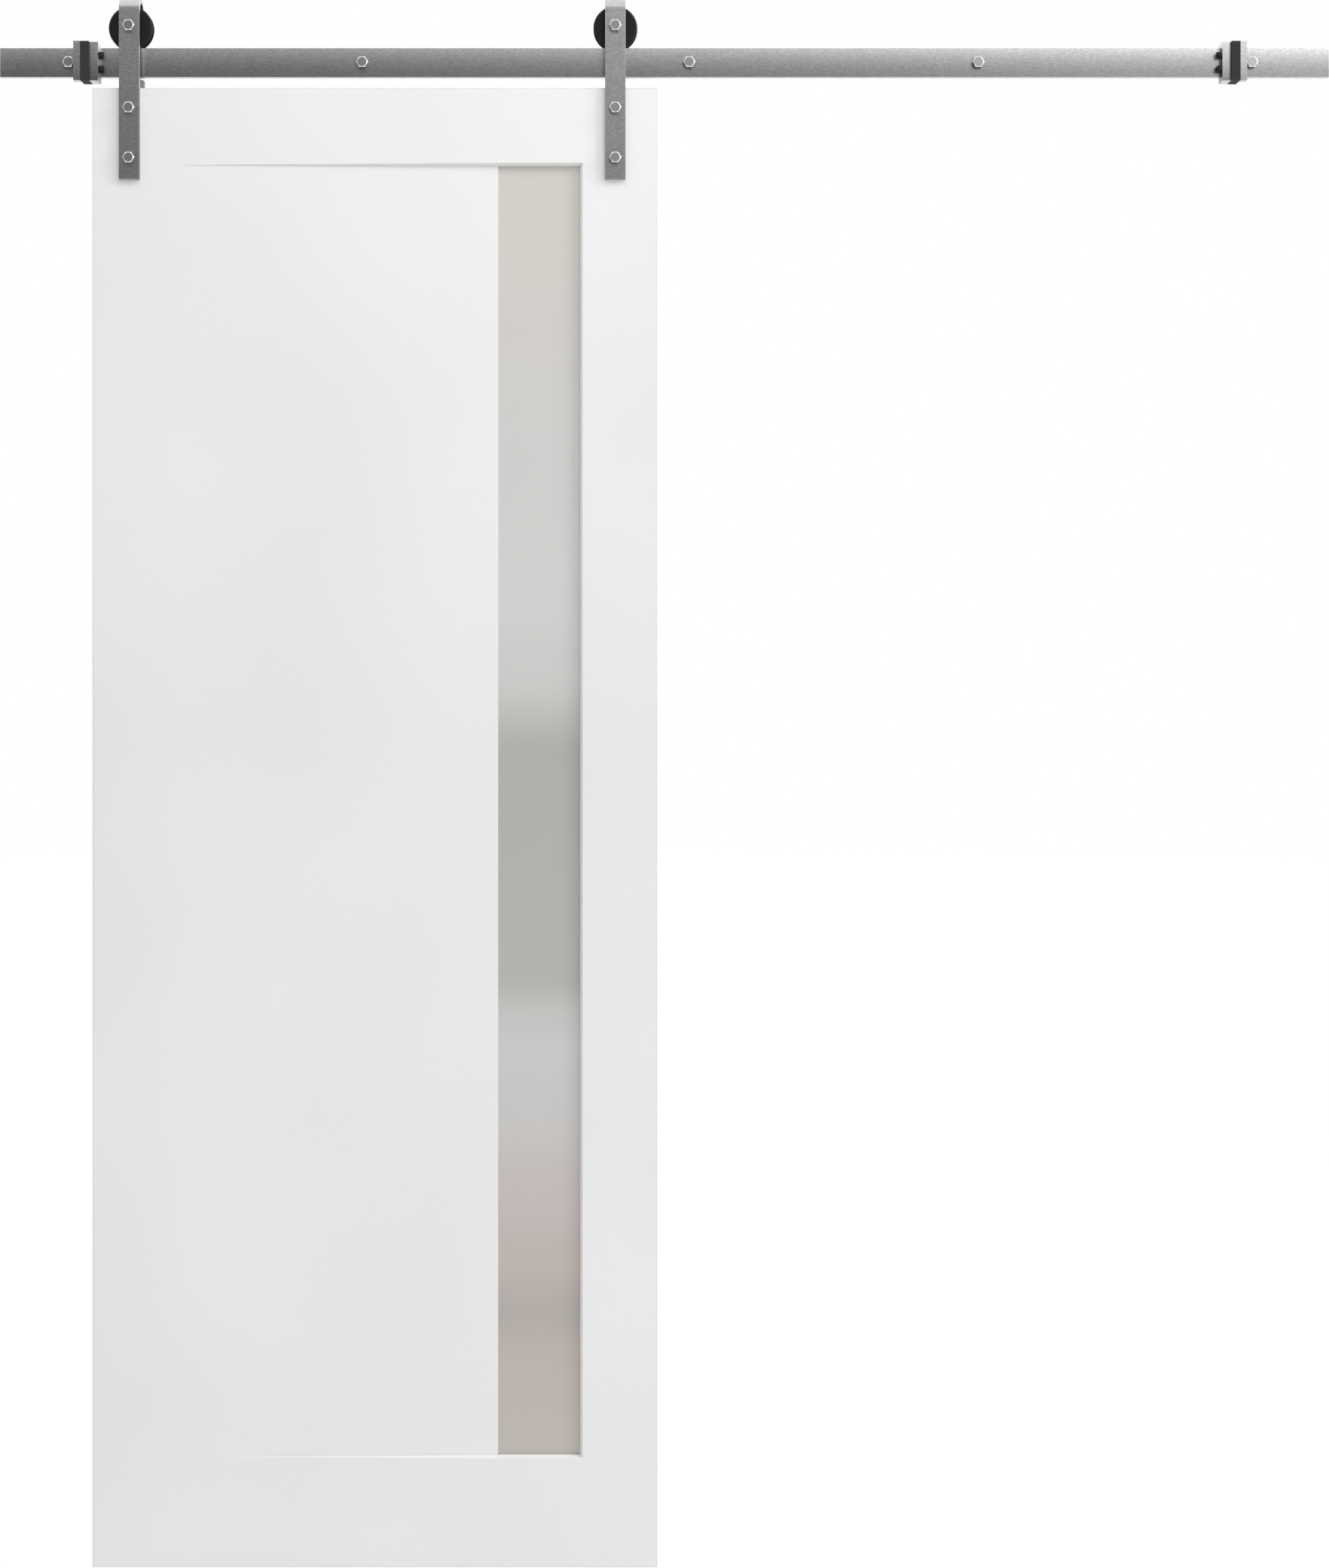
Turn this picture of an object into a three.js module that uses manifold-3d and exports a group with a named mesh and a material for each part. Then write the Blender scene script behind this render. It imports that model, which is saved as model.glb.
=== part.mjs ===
// Sliding barn door set: a flat steel rail on stand-offs, two hook-strap hangers with grooved
// wheels, a white panel door with a narrow glass light, and two clamped end stops.
// Millimetres. +X runs along the rail, +Y into the wall, +Z up. The origin is where the
// centreline of the rail meets the face of the wall, half way along the rail.

import * as THREE from 'three';
import { mergeVertices } from 'three/addons/utils/BufferGeometryUtils.js';
import Module from 'manifold-3d';

const wasm = await Module();
wasm.setup();

// ---------------------------------------------------------------- driving dimensions

// Clearances
const fitClearance = 0.3;            // round a shank, a tenon, the rail in its slot
const rollingClearance = 0.2;        // between the tread and the top edge of the rail

// Rail and its fixings
const railLength = 1828.8;
const railHeight = 40;
const railThickness = 8;
const standOffLength = 30;
const standOffDiameter = 22;
const firstFixingInset = 95;         // from the left end of the rail
const lastFixingInset = 107;         // from the right end of the rail
const fixingShares = [0, 0.2482, 0.5246, 0.7688, 1];  // of the way from the first to the last

// Hexagon heads, shared by every bolt
const hexAcrossFlats = 14.3;
const hexHeadHeight = 5.9;
const hexNutHeight = 7;
const hexLandDiameter = 12;          // flat circle left by the chamfer
const hexChamferAngle = Math.PI / 6;
const boltDiameter = 9.5;

// Lag screw
const lagReach = 38.2;               // into the wall: a 3 in screw
const lagPlainReach = 6;             // plain shank past the face of the wall
const lagCoreDiameter = 7;
const lagTipLength = 12;

// Wheels and bearings
const treadDiameter = 54;
const flangeHeight = 3.2;
const flangeThickness = 3.6;
const flangeChamfer = 2;
const grooveClearance = 0.4;         // each side of the rail at the tread
const grooveFlare = 0.6;             // extra each side at the rim
const wheelSideClearance = 2.5;      // wheel to strap
const bearingDiameter = 22.2;
const bearingWidth = 7.1;
const innerRaceDiameter = 14.4;
const outerRaceBore = 18.4;
const ballDiameter = 3.4;
const ballCount = 8;
const cageWidth = 2;
const bearingShoulder = 1.8;         // radial overlap of the wheel on the outer race
const bushDiameter = 14;

// Hangers
const strapWidth = 28;
const strapThickness = 6;
const hookClearance = 4.6;           // wheel rim to the inside of the bend
const backLegDrop = 17.2;            // end of the back leg below the axle
const strapFootDrop = 126.1;         // foot of the strap below the top of the door
const doorBoltDrops = [29.1, 97.6];  // below the top of the door
const axleTail = 1;                  // shank past its nut
const sleeveDiameter = 12.5;
const sleeveLength = 15;
const sleeveFlangeDiameter = 20;
const sleeveFlangeThickness = 2;
const sleeveSlotWidth = 1.6;
const sleeveSlotDepth = 1;
const sleeveEndWall = 3.5;           // solid metal behind the end of the bore
const boltEndGap = 1.5;              // end of the bolt to the end of the bore

// Door
const doorWidth = 775.6;
const doorHeight = 2032;
const doorThickness = 36;
const doorGap = 16.4;                // underside of the rail to the top of the door
const doorRestInset = 128.8;         // left edge of the door from the left end of the rail
const leftHangerInset = 51.5;        // from the left edge of the door
const rightHangerInset = 57.6;       // from the right edge of the door
const stileWidth = 102;
const topRailHeight = 102.2;
const bottomRailHeight = 148.6;
const tenonLength = 30;
const tenonThickness = 12;
const tenonShoulder = 20;            // rail above and below its tenon
const panelEdgeThickness = 25;       // where the wedge panel meets the glass
const panelTongueLength = 8;
const panelTongueThickness = 10;
const glassSightWidth = 112.7;
const glassThickness = 6;
const glassDepth = 8;                // face of the glass behind the front of the door
const glassRebate = 8;               // glass hidden in the edge of the panel
const glassEdgeGap = 1;              // glass to the frame, under the beads
const beadWidth = 4.3;               // beside the glass
const beadHeight = 3.8;              // above and below it
const beadLand = 0.6;                // flat front edge of the bead

// Anti-jump discs on top of the door
const jumpDiscDiameter = 28;
const jumpDiscClearance = 3.4;       // under the rail
const jumpDiscStrapGap = 1;
const leftJumpDiscOffset = 3;        // from the middle of its strap
const rightJumpDiscOffset = 0;
const jumpScrewDiameter = 4;
const jumpScrewHeadDiameter = 9;
const jumpScrewHeadHeight = 3.2;
const jumpScrewSink = 0.8;
const jumpScrewReach = 19;           // into the door
const jumpScrewTip = 4;

// End stops: a plate, a rubber pad and a block drawn together by two screws
const stopClearance = 0.2;           // to the head of the end fixing
const stopPlateWidth = 9.5;
const stopRubberWidth = 12;
const stopBlockWidth = 11.8;
const stopPlateProud = 11.1;         // in front of the rail
const stopRubberProud = 12.4;
const stopBlockProud = 8;
const stopPlateRise = 7;             // above and below the rail
const stopRubberRise = 6.7;
const stopBlockRise = 6.5;
const stopBackDepth = 4;             // behind the rail
const stopPlateGap = 0.8;            // plate to the face of the rail
const stopLipGap = 3;                // lips to a stand-off that they pass
const stopScrewDiameter = 5;
const stopScrewHeadDiameter = 8.2;
const stopScrewHeadLength = 7;
const stopScrewPitch = 19;
const stopScrewBite = 7;             // into the plate
const stopScrewSocket = 4;           // across flats
const stopScrewSocketDepth = 2.5;

// Facets round a full turn
const fineFacets = 64;
const mediumFacets = 24;
const smallFacets = 16;
const bendFacets = 20;               // round a half turn of the strap
const cutOverrun = 2;                // how far a cutting tool runs past the face it cuts

// ---------------------------------------------------------------- worked-out places

const railFront = -(standOffLength + railThickness);
const railBack = -standOffLength;
const railMiddle = (railFront + railBack) / 2;
const railTop = railHeight / 2;
const railEnd = railLength / 2;
const firstFixing = -railEnd + firstFixingInset;
const lastFixing = railEnd - lastFixingInset;
const fixings = fixingShares.map((share) => firstFixing + share * (lastFixing - firstFixing));
const boltHoleDiameter = boltDiameter + 2 * fitClearance;
const hexAcrossCorners = hexAcrossFlats / Math.cos(Math.PI / 6);

const treadRadius = treadDiameter / 2;
const rimRadius = treadRadius + flangeHeight;
const grooveHalf = railThickness / 2 + grooveClearance;
const wheelHalf = grooveHalf + flangeThickness;
const strapInsideHalf = wheelHalf + wheelSideClearance;
const axleHeight = railTop + treadRadius + rollingClearance;
const frontLegBack = railMiddle - strapInsideHalf;
const frontLegFront = frontLegBack - strapThickness;
const backLegFront = railMiddle + strapInsideHalf;
const backLegBack = backLegFront + strapThickness;
const bendHeight = axleHeight + rimRadius + hookClearance - strapInsideHalf;

const doorFront = frontLegBack;
const doorBack = doorFront + doorThickness;
const doorMiddle = (doorFront + doorBack) / 2;
const doorTop = -railTop - doorGap;
const doorBottom = doorTop - doorHeight;
const doorLeft = -railEnd + doorRestInset;
const doorRight = doorLeft + doorWidth;
const leftHanger = doorLeft + leftHangerInset;
const rightHanger = doorRight - rightHangerInset;
const doorBoltHeights = doorBoltDrops.map((drop) => doorTop - drop);
const glassMiddle = doorFront + glassDepth + glassThickness / 2;
const openLeft = doorLeft + stileWidth;
const openRight = doorRight - stileWidth;
const openTop = doorTop - topRailHeight;
const openBottom = doorBottom + bottomRailHeight;
const panelRight = openRight - beadWidth - glassSightWidth;

const jumpDiscDepth = doorFront + jumpDiscStrapGap + jumpDiscDiameter / 2;
const jumpDiscTop = -railTop - jumpDiscClearance;

const stopScrewDepth = railFront - fitClearance - stopScrewHeadDiameter / 2;

// ---------------------------------------------------------------- materials

const finish = (color, roughness, metalness) =>
  new THREE.MeshStandardMaterial({ color, roughness, metalness });

const brushedSteel = finish(0xa4a5a6, 0.38, 1);
const boltSteel = finish(0xb4b6b8, 0.3, 1);
const bearingSteel = finish(0xc2c4c6, 0.2, 1);
const blackOxide = finish(0x161617, 0.5, 0.6);
const blackNylon = finish(0x1c1c1d, 0.55, 0);
const blackRubber = finish(0x262628, 0.85, 0);
const whiteLacquer = finish(0xe8e7e4, 0.4, 0);
const frostedGlass = finish(0xcfd1cc, 0.5, 0);

// ---------------------------------------------------------------- shape helpers

/** A mesh with its node name. */
function part(name, geometry, material) {
  const mesh = new THREE.Mesh(geometry, material);
  mesh.name = name;
  return mesh;
}

/** A group at a place, holding the given children. */
function group(children, x = 0, y = 0, z = 0) {
  const holder = new THREE.Group();
  holder.position.set(x, y, z);
  holder.add(...children);
  return holder;
}

/** The same mesh moved to a place. */
function placed(mesh, x, y, z) {
  mesh.position.set(x, y, z);
  return mesh;
}

/** Two values in rising order. */
const span = (a, b) => (a < b ? [a, b] : [b, a]);

/** A block between the given spans; the faces fall exactly on the values given. */
function block([x0, x1], [y0, y1], [z0, z1]) {
  return taperedBlock([y0, y1], [x0, x1, z0, z1], [x0, x1, z0, z1]);
}

/** A block whose rectangle [x0, x1, z0, z1] differs between its low-Y and high-Y ends. */
function taperedBlock([y0, y1], lowRectangle, highRectangle) {
  return shapedBlock((x, y, z) => {
    const rectangle = y ? highRectangle : lowRectangle;
    return [rectangle[x], y ? y1 : y0, rectangle[2 + z]];
  });
}

/** A box whose corners are moved; corner gets 0 or 1 along x, y and z and gives the place. */
function shapedBlock(corner) {
  const geometry = new THREE.BoxGeometry(1, 1, 1);
  const corners = geometry.attributes.position;
  for (let i = 0; i < corners.count; i++) {
    const ends = [corners.getX(i), corners.getY(i), corners.getZ(i)].map((v) => (v < 0 ? 0 : 1));
    corners.setXYZ(i, ...corner(...ends));
  }
  return geometry;
}

/** A turned solid about the Y axis; the profile lists [radius, y] with y rising outside. */
function turned(profile, facets) {
  return new THREE.LatheGeometry(profile.map(([r, y]) => new THREE.Vector2(r, y)), facets);
}

/** A straight round pin about the Y axis. */
function pin(diameter, y0, y1, facets = smallFacets) {
  const r = diameter / 2;
  return turned([[0, y0], [r, y0], [r, y1], [0, y1]], facets);
}

/** A plain ring about the Y axis. */
function ring(outerDiameter, boreDiameter, y0, y1, facets) {
  const outer = outerDiameter / 2;
  const bore = boreDiameter / 2;
  return turned([[bore, y0], [outer, y0], [outer, y1], [bore, y1], [bore, y0]], facets);
}

/** A six-sided prism about the Y axis with two corners on the X axis. */
function hexagon(acrossFlats, y0, y1) {
  const radius = acrossFlats / 2 / Math.cos(Math.PI / 6);
  return new THREE.CylinderGeometry(radius, radius, y1 - y0, 6, 1, false, Math.PI / 6)
    .translate(0, (y0 + y1) / 2, 0);
}

/** An outline in Y and Z, drawn out along X between two values. */
function drawnAlongX(outline, [x0, x1], curveSegments) {
  const geometry = new THREE.ExtrudeGeometry(outline, { depth: 1, bevelEnabled: false, curveSegments });
  const points = geometry.attributes.position;
  for (let i = 0; i < points.count; i++) {
    points.setXYZ(i, points.getZ(i) < 0.5 ? x0 : x1, points.getX(i), points.getY(i));
  }
  return geometry;
}

/** An outline in X and Y, drawn out along Z between two values. */
function drawnAlongZ(outline, [z0, z1]) {
  const geometry = new THREE.ExtrudeGeometry(outline, { depth: 1, bevelEnabled: false });
  const points = geometry.attributes.position;
  for (let i = 0; i < points.count; i++) {
    points.setZ(i, points.getZ(i) < 0.5 ? z0 : z1);
  }
  return geometry;
}

/** The closed solid of a geometry, ready to be joined or cut. */
function solidOf(geometry) {
  geometry.deleteAttribute('normal');
  geometry.deleteAttribute('uv');
  const merged = mergeVertices(geometry);
  const corners = merged.index.array;
  const kept = [];
  for (let i = 0; i < corners.length; i += 3) {
    const [a, b, c] = corners.subarray(i, i + 3);
    if (a !== b && b !== c && c !== a) kept.push(a, b, c);
  }
  const vertProperties = new Float32Array(merged.attributes.position.array);
  return new wasm.Manifold(new wasm.Mesh({ numProp: 3, vertProperties, triVerts: new Uint32Array(kept) }));
}

/** The geometry of a solid. */
function geometryOf(solid) {
  const { vertProperties, triVerts } = solid.getMesh();
  const geometry = new THREE.BufferGeometry();
  geometry.setAttribute('position', new THREE.BufferAttribute(vertProperties, 3));
  geometry.setIndex(new THREE.BufferAttribute(triVerts, 1));
  return geometry;
}

/** A geometry with others joined to it. */
const joined = (base, others) =>
  geometryOf(others.reduce((solid, other) => solid.add(solidOf(other)), solidOf(base)));

/** A geometry with others cut out of it. */
const cut = (base, tools) =>
  geometryOf(tools.reduce((solid, tool) => solid.subtract(solidOf(tool)), solidOf(base)));

/** The overlap of two geometries. */
const common = (base, other) => geometryOf(solidOf(base).intersect(solidOf(other)));

// ---------------------------------------------------------------- fasteners

/** A chamfered hexagon head whose seat is at y = 0 and whose top faces -Y. */
function hexHead(height) {
  const land = hexLandDiameter / 2;
  const wide = hexAcrossCorners / 2 + cutOverrun;
  const drop = (wide - land) * Math.tan(hexChamferAngle);
  const envelope = turned([[0, -height], [land, -height], [wide, drop - height], [wide, cutOverrun],
    [0, cutOverrun]], mediumFacets);
  return common(hexagon(hexAcrossFlats, -height, 0), envelope);
}

/** A hexagon bolt whose seat is at y = 0 and whose shank runs to y = length. */
function hexBolt(length) {
  return joined(hexHead(hexHeadHeight), [pin(boltDiameter, -cutOverrun, length)]);
}

/** A hexagon nut with its seat at y = 0 and its chamfered face towards +Y. */
function hexNut() {
  const nut = hexHead(hexNutHeight).rotateZ(Math.PI);
  return cut(nut, [pin(boltHoleDiameter, -cutOverrun, hexNutHeight + cutOverrun)]);
}

/** A lag screw: plain shank through the stand-off, thinner core and point in the wall. */
function lagScrew() {
  const wall = -railFront;
  const plainEnd = wall + lagPlainReach;
  const shank = boltDiameter / 2;
  const core = lagCoreDiameter / 2;
  const body = turned([[0, -cutOverrun], [shank, -cutOverrun], [shank, plainEnd],
    [core, plainEnd + shank - core], [core, wall + lagReach - lagTipLength], [0, wall + lagReach]],
  smallFacets);
  return joined(hexHead(hexHeadHeight), [body]);
}

/** A flanged sleeve nut: its flange seats at y = 0 and its sleeve runs towards -Y. */
function sleeveNut() {
  const bore = boltHoleDiameter / 2;
  const sleeve = sleeveDiameter / 2;
  const flange = sleeveFlangeDiameter / 2;
  const nut = turned([[bore, -sleeveLength], [sleeve, -sleeveLength], [sleeve, 0], [flange, 0],
    [flange, sleeveFlangeThickness], [0, sleeveFlangeThickness], [0, -sleeveEndWall],
    [bore, -sleeveEndWall], [bore, -sleeveLength]], mediumFacets);
  const slot = block([-flange, flange], [sleeveFlangeThickness - sleeveSlotDepth,
    sleeveFlangeThickness + cutOverrun], [-sleeveSlotWidth / 2, sleeveSlotWidth / 2]);
  return cut(nut, [slot]);
}

/** A socket screw whose head seats at y = 0 and points to -Y, with its shank towards +Y. */
function socketScrew() {
  const shankEnd = stopBlockWidth + stopRubberWidth + stopScrewBite;
  const body = joined(pin(stopScrewHeadDiameter, -stopScrewHeadLength, 0, mediumFacets),
    [pin(stopScrewDiameter, -cutOverrun, shankEnd)]);
  const socket = hexagon(stopScrewSocket, -stopScrewHeadLength - cutOverrun,
    -stopScrewHeadLength + stopScrewSocketDepth);
  return cut(body, [socket]);
}

// ---------------------------------------------------------------- track

/** The flat rail with a hole at each fixing. */
function rail() {
  const bar = block([-railEnd, railEnd], [railFront, railBack], [-railTop, railTop]);
  const holes = fixings.map((x) => pin(boltHoleDiameter, railFront - cutOverrun,
    railBack + cutOverrun).translate(x, 0, 0));
  return part('rail', cut(bar, holes), brushedSteel);
}

/** One stand-off and lag screw at each fixing. */
function wallFixings() {
  return fixings.flatMap((x, i) => [
    placed(part(`stand_off_${i + 1}`, ring(standOffDiameter, boltHoleDiameter, railBack, 0,
      mediumFacets), brushedSteel), x, 0, 0),
    placed(part(`lag_screw_${i + 1}`, lagScrew(), boltSteel), x, railFront, 0),
  ]);
}

/** The slot that a stop piece needs for the rail, open between the lips at the back. */
function railSlot([x0, x1]) {
  const lips = standOffDiameter / 2 + stopLipGap;
  const across = [x0 - cutOverrun, x1 + cutOverrun];
  const seat = railBack + fitClearance;
  return [
    block(across, [railFront - fitClearance, seat], [-railTop - fitClearance, railTop + fitClearance]),
    block(across, [seat - cutOverrun, railBack + stopBackDepth + cutOverrun], [-lips, lips]),
  ];
}

/** One end stop; inward is +1 where the door lies on its +X side and -1 on the other. */
function endStop(side, fixing, inward) {
  const outer = fixing + inward * (hexAcrossCorners / 2 + stopClearance);
  const plate = span(0, inward * stopPlateWidth);
  const rubber = span(inward * stopPlateWidth, inward * (stopPlateWidth + stopRubberWidth));
  const inner = stopPlateWidth + stopRubberWidth + stopBlockWidth;
  const steel = span(inward * (stopPlateWidth + stopRubberWidth), inward * inner);
  const back = railBack + stopBackDepth;
  const heights = [-stopScrewPitch / 2, stopScrewPitch / 2];
  const holes = heights.map((z) => pin(stopScrewDiameter + 2 * fitClearance, -cutOverrun,
    inner - stopPlateWidth + stopScrewBite + fitClearance)
    .rotateZ(inward * Math.PI / 2).translate(inward * inner, stopScrewDepth, z));
  const slab = (x, proud, rise, depth) => block(x, [railFront - proud, depth],
    [-railTop - rise, railTop + rise]);
  return group([
    part(`stop_plate_${side}`,
      cut(slab(plate, stopPlateProud, stopPlateRise, railFront - stopPlateGap), holes), brushedSteel),
    part(`stop_rubber_${side}`,
      cut(slab(rubber, stopRubberProud, stopRubberRise, back), [...railSlot(rubber), ...holes]),
      blackRubber),
    part(`stop_block_${side}`,
      cut(slab(steel, stopBlockProud, stopBlockRise, back), [...railSlot(steel), ...holes]),
      brushedSteel),
    ...heights.map((z, i) => placed(part(`stop_screw_${side}_${i + 1}`,
      socketScrew().rotateZ(inward * Math.PI / 2), blackOxide), inward * inner, stopScrewDepth, z)),
  ], outer);
}

// ---------------------------------------------------------------- door

/** Mortises, bolt holes, disc screw hole and, on the left, the groove for the panel tongue. */
function stileCuts(inner, outward, hanger, discX) {
  const mortise = (low, high) => block(
    span(inner - outward * cutOverrun, inner + outward * (tenonLength + fitClearance)),
    [doorMiddle - tenonThickness / 2 - fitClearance, doorMiddle + tenonThickness / 2 + fitClearance],
    [low + tenonShoulder - fitClearance, high - tenonShoulder + fitClearance]);
  const boltHoles = doorBoltHeights.flatMap((z) => [
    pin(boltHoleDiameter, doorFront - cutOverrun, doorBack + cutOverrun).translate(hanger, 0, z),
    pin(sleeveDiameter + 2 * fitClearance, doorBack - sleeveLength - fitClearance,
      doorBack + cutOverrun, mediumFacets).translate(hanger, 0, z),
  ]);
  const screwHole = pin(jumpScrewDiameter + 2 * fitClearance, -jumpScrewReach - fitClearance,
    cutOverrun).rotateX(Math.PI / 2).translate(discX, jumpDiscDepth, doorTop);
  return [mortise(openTop, doorTop), mortise(doorBottom, openBottom), ...boltHoles, screwHole];
}

/** The upright boards of the door frame. */
function stiles() {
  const upright = [doorBottom, doorTop];
  const depth = [doorFront, doorBack];
  const tongueHalf = panelTongueThickness / 2 + fitClearance;
  const groove = block([openLeft - panelTongueLength - fitClearance, openLeft + cutOverrun],
    [doorMiddle - tongueHalf, doorMiddle + tongueHalf],
    [openBottom - fitClearance, openTop + fitClearance]);
  const left = cut(block([doorLeft, openLeft], depth, upright),
    [...stileCuts(openLeft, -1, leftHanger, leftHanger + leftJumpDiscOffset), groove]);
  const right = cut(block([openRight, doorRight], depth, upright),
    stileCuts(openRight, 1, rightHanger, rightHanger + rightJumpDiscOffset));
  return [part('door_stile_left', left, whiteLacquer), part('door_stile_right', right, whiteLacquer)];
}

/** A cross board of the door frame with a tenon at each end. */
function crossBoard(name, low, high) {
  const tenon = block([openLeft - tenonLength, openRight + tenonLength],
    [doorMiddle - tenonThickness / 2, doorMiddle + tenonThickness / 2],
    [low + tenonShoulder, high - tenonShoulder]);
  const board = block([openLeft, openRight], [doorFront, doorBack], [low, high]);
  return part(name, joined(board, [tenon]), whiteLacquer);
}

/** The wedge panel seen from its end: full thickness at the left stile, thin at the glass. */
function panelOutline() {
  const edge = panelEdgeThickness / 2;
  const groove = glassThickness / 2 + fitClearance;
  const grooveEnd = panelRight - glassRebate - fitClearance;
  const tongue = panelTongueThickness / 2;
  const corners = [
    [openLeft, doorFront], [panelRight, doorMiddle - edge], [panelRight, glassMiddle - groove],
    [grooveEnd, glassMiddle - groove], [grooveEnd, glassMiddle + groove],
    [panelRight, glassMiddle + groove], [panelRight, doorMiddle + edge], [openLeft, doorBack],
    [openLeft, doorMiddle + tongue], [openLeft - panelTongueLength, doorMiddle + tongue],
    [openLeft - panelTongueLength, doorMiddle - tongue], [openLeft, doorMiddle - tongue],
  ];
  return new THREE.Shape(corners.map(([x, y]) => new THREE.Vector2(x, y)));
}

/** The space that the panel takes up, with clearance in front, behind and beside the glass. */
function panelSpace() {
  const edge = panelEdgeThickness / 2 + fitClearance;
  const right = panelRight + fitClearance;
  const corners = [
    [openLeft - cutOverrun, doorFront - fitClearance], [openLeft, doorFront - fitClearance],
    [right, doorMiddle - edge], [right, doorMiddle + edge], [openLeft, doorBack + fitClearance],
    [openLeft - cutOverrun, doorBack + fitClearance],
  ];
  return drawnAlongZ(new THREE.Shape(corners.map(([x, y]) => new THREE.Vector2(x, y))),
    [openBottom - cutOverrun, openTop + cutOverrun]);
}

/**
 * The bevelled bead round three sides of the opening; side is -1 at the front, +1 behind.
 * Above and below the wedge panel its bevel runs out with the depth of the panel.
 */
function bead(name, side) {
  const face = doorMiddle + side * doorThickness / 2;
  const step = doorMiddle + side * panelEdgeThickness / 2;
  const seat = glassMiddle + side * (glassThickness / 2 + fitClearance);
  const overrun = cutOverrun / Math.abs(face - step);
  const proud = face + side * cutOverrun;
  const beside = (rise) => beadWidth - (beadWidth - beadLand) * rise;
  const above = (rise) => beadHeight - (beadHeight - beadLand) * rise;
  const rectangle = (x0, rise) => [x0, openRight - beside(rise), openBottom + above(rise),
    openTop - above(rise)];
  const atFace = rectangle(panelRight, 1 + overrun);
  const atStep = rectangle(panelRight, 0);
  const bevel = taperedBlock(span(proud, step),
    side < 0 ? atFace : atStep, side < 0 ? atStep : atFace);
  const runOut = shapedBlock((x, y, z) => {
    const outside = y === (side < 0 ? 0 : 1);
    const height = above(outside ? x + overrun : 0);
    const depth = x ? step : face;
    return [x ? panelRight : openLeft, outside ? proud : depth,
      z ? openTop - height : openBottom + height];
  });
  const behind = rectangle(openLeft - cutOverrun, 0);
  const throat = taperedBlock(span(step + side * fitClearance, seat - side * cutOverrun), behind, behind);
  const blank = block([openLeft, openRight], span(face, seat), [openBottom, openTop]);
  return part(name, cut(blank, [joined(bevel, [runOut]), throat, panelSpace()]), whiteLacquer);
}

/** The whole door leaf. */
function doorLeaf() {
  const glass = block([panelRight - glassRebate, openRight - glassEdgeGap],
    [glassMiddle - glassThickness / 2, glassMiddle + glassThickness / 2],
    [openBottom + glassEdgeGap, openTop - glassEdgeGap]);
  return [
    ...stiles(),
    crossBoard('door_top_rail', openTop, doorTop),
    crossBoard('door_bottom_rail', doorBottom, openBottom),
    part('door_wedge_panel', drawnAlongZ(panelOutline(), [openBottom, openTop]), whiteLacquer),
    part('door_glass', glass, frostedGlass),
    bead('glazing_bead_front', -1),
    bead('glazing_bead_back', 1),
  ];
}

// ---------------------------------------------------------------- hangers and wheels

/** The strap: a long front leg, a half-round bend over the wheel and a short back leg. */
function strap() {
  const bend = strapInsideHalf;
  const outline = new THREE.Shape();
  outline.moveTo(frontLegFront, doorTop - strapFootDrop);
  outline.lineTo(frontLegBack, doorTop - strapFootDrop);
  outline.lineTo(frontLegBack, bendHeight);
  outline.absarc(railMiddle, bendHeight, bend, Math.PI, 0, true);
  outline.lineTo(backLegFront, axleHeight - backLegDrop);
  outline.lineTo(backLegBack, axleHeight - backLegDrop);
  outline.lineTo(backLegBack, bendHeight);
  outline.absarc(railMiddle, bendHeight, bend + strapThickness, 0, Math.PI, false);
  const bar = drawnAlongX(outline, [-strapWidth / 2, strapWidth / 2], bendFacets);
  const frontHoles = doorBoltHeights.map((z) => pin(boltHoleDiameter, frontLegFront - cutOverrun,
    frontLegBack + cutOverrun).translate(0, 0, z));
  const axleHole = pin(boltHoleDiameter, frontLegFront - cutOverrun, backLegBack + cutOverrun)
    .translate(0, 0, axleHeight);
  return cut(bar, [...frontHoles, axleHole]);
}

/** The disc on top of the door that keeps the wheels from jumping off the rail. */
function jumpDisc() {
  const height = jumpDiscTop - doorTop;
  const hole = jumpScrewDiameter / 2 + fitClearance;
  const mouth = jumpScrewHeadDiameter / 2 + fitClearance;
  const neck = height - jumpScrewHeadHeight - jumpScrewSink - fitClearance;
  return turned([[hole, 0], [jumpDiscDiameter / 2, 0], [jumpDiscDiameter / 2, height],
    [mouth, height], [mouth, height - jumpScrewSink - fitClearance], [hole, neck], [hole, 0]],
  mediumFacets);
}

/** The countersunk screw through the disc. */
function jumpScrew() {
  const top = jumpDiscTop - doorTop - jumpScrewSink;
  const shank = jumpScrewDiameter / 2;
  return turned([[0, -jumpScrewReach], [shank, jumpScrewTip - jumpScrewReach],
    [shank, top - jumpScrewHeadHeight], [jumpScrewHeadDiameter / 2, top], [0, top]], smallFacets);
}

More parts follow.
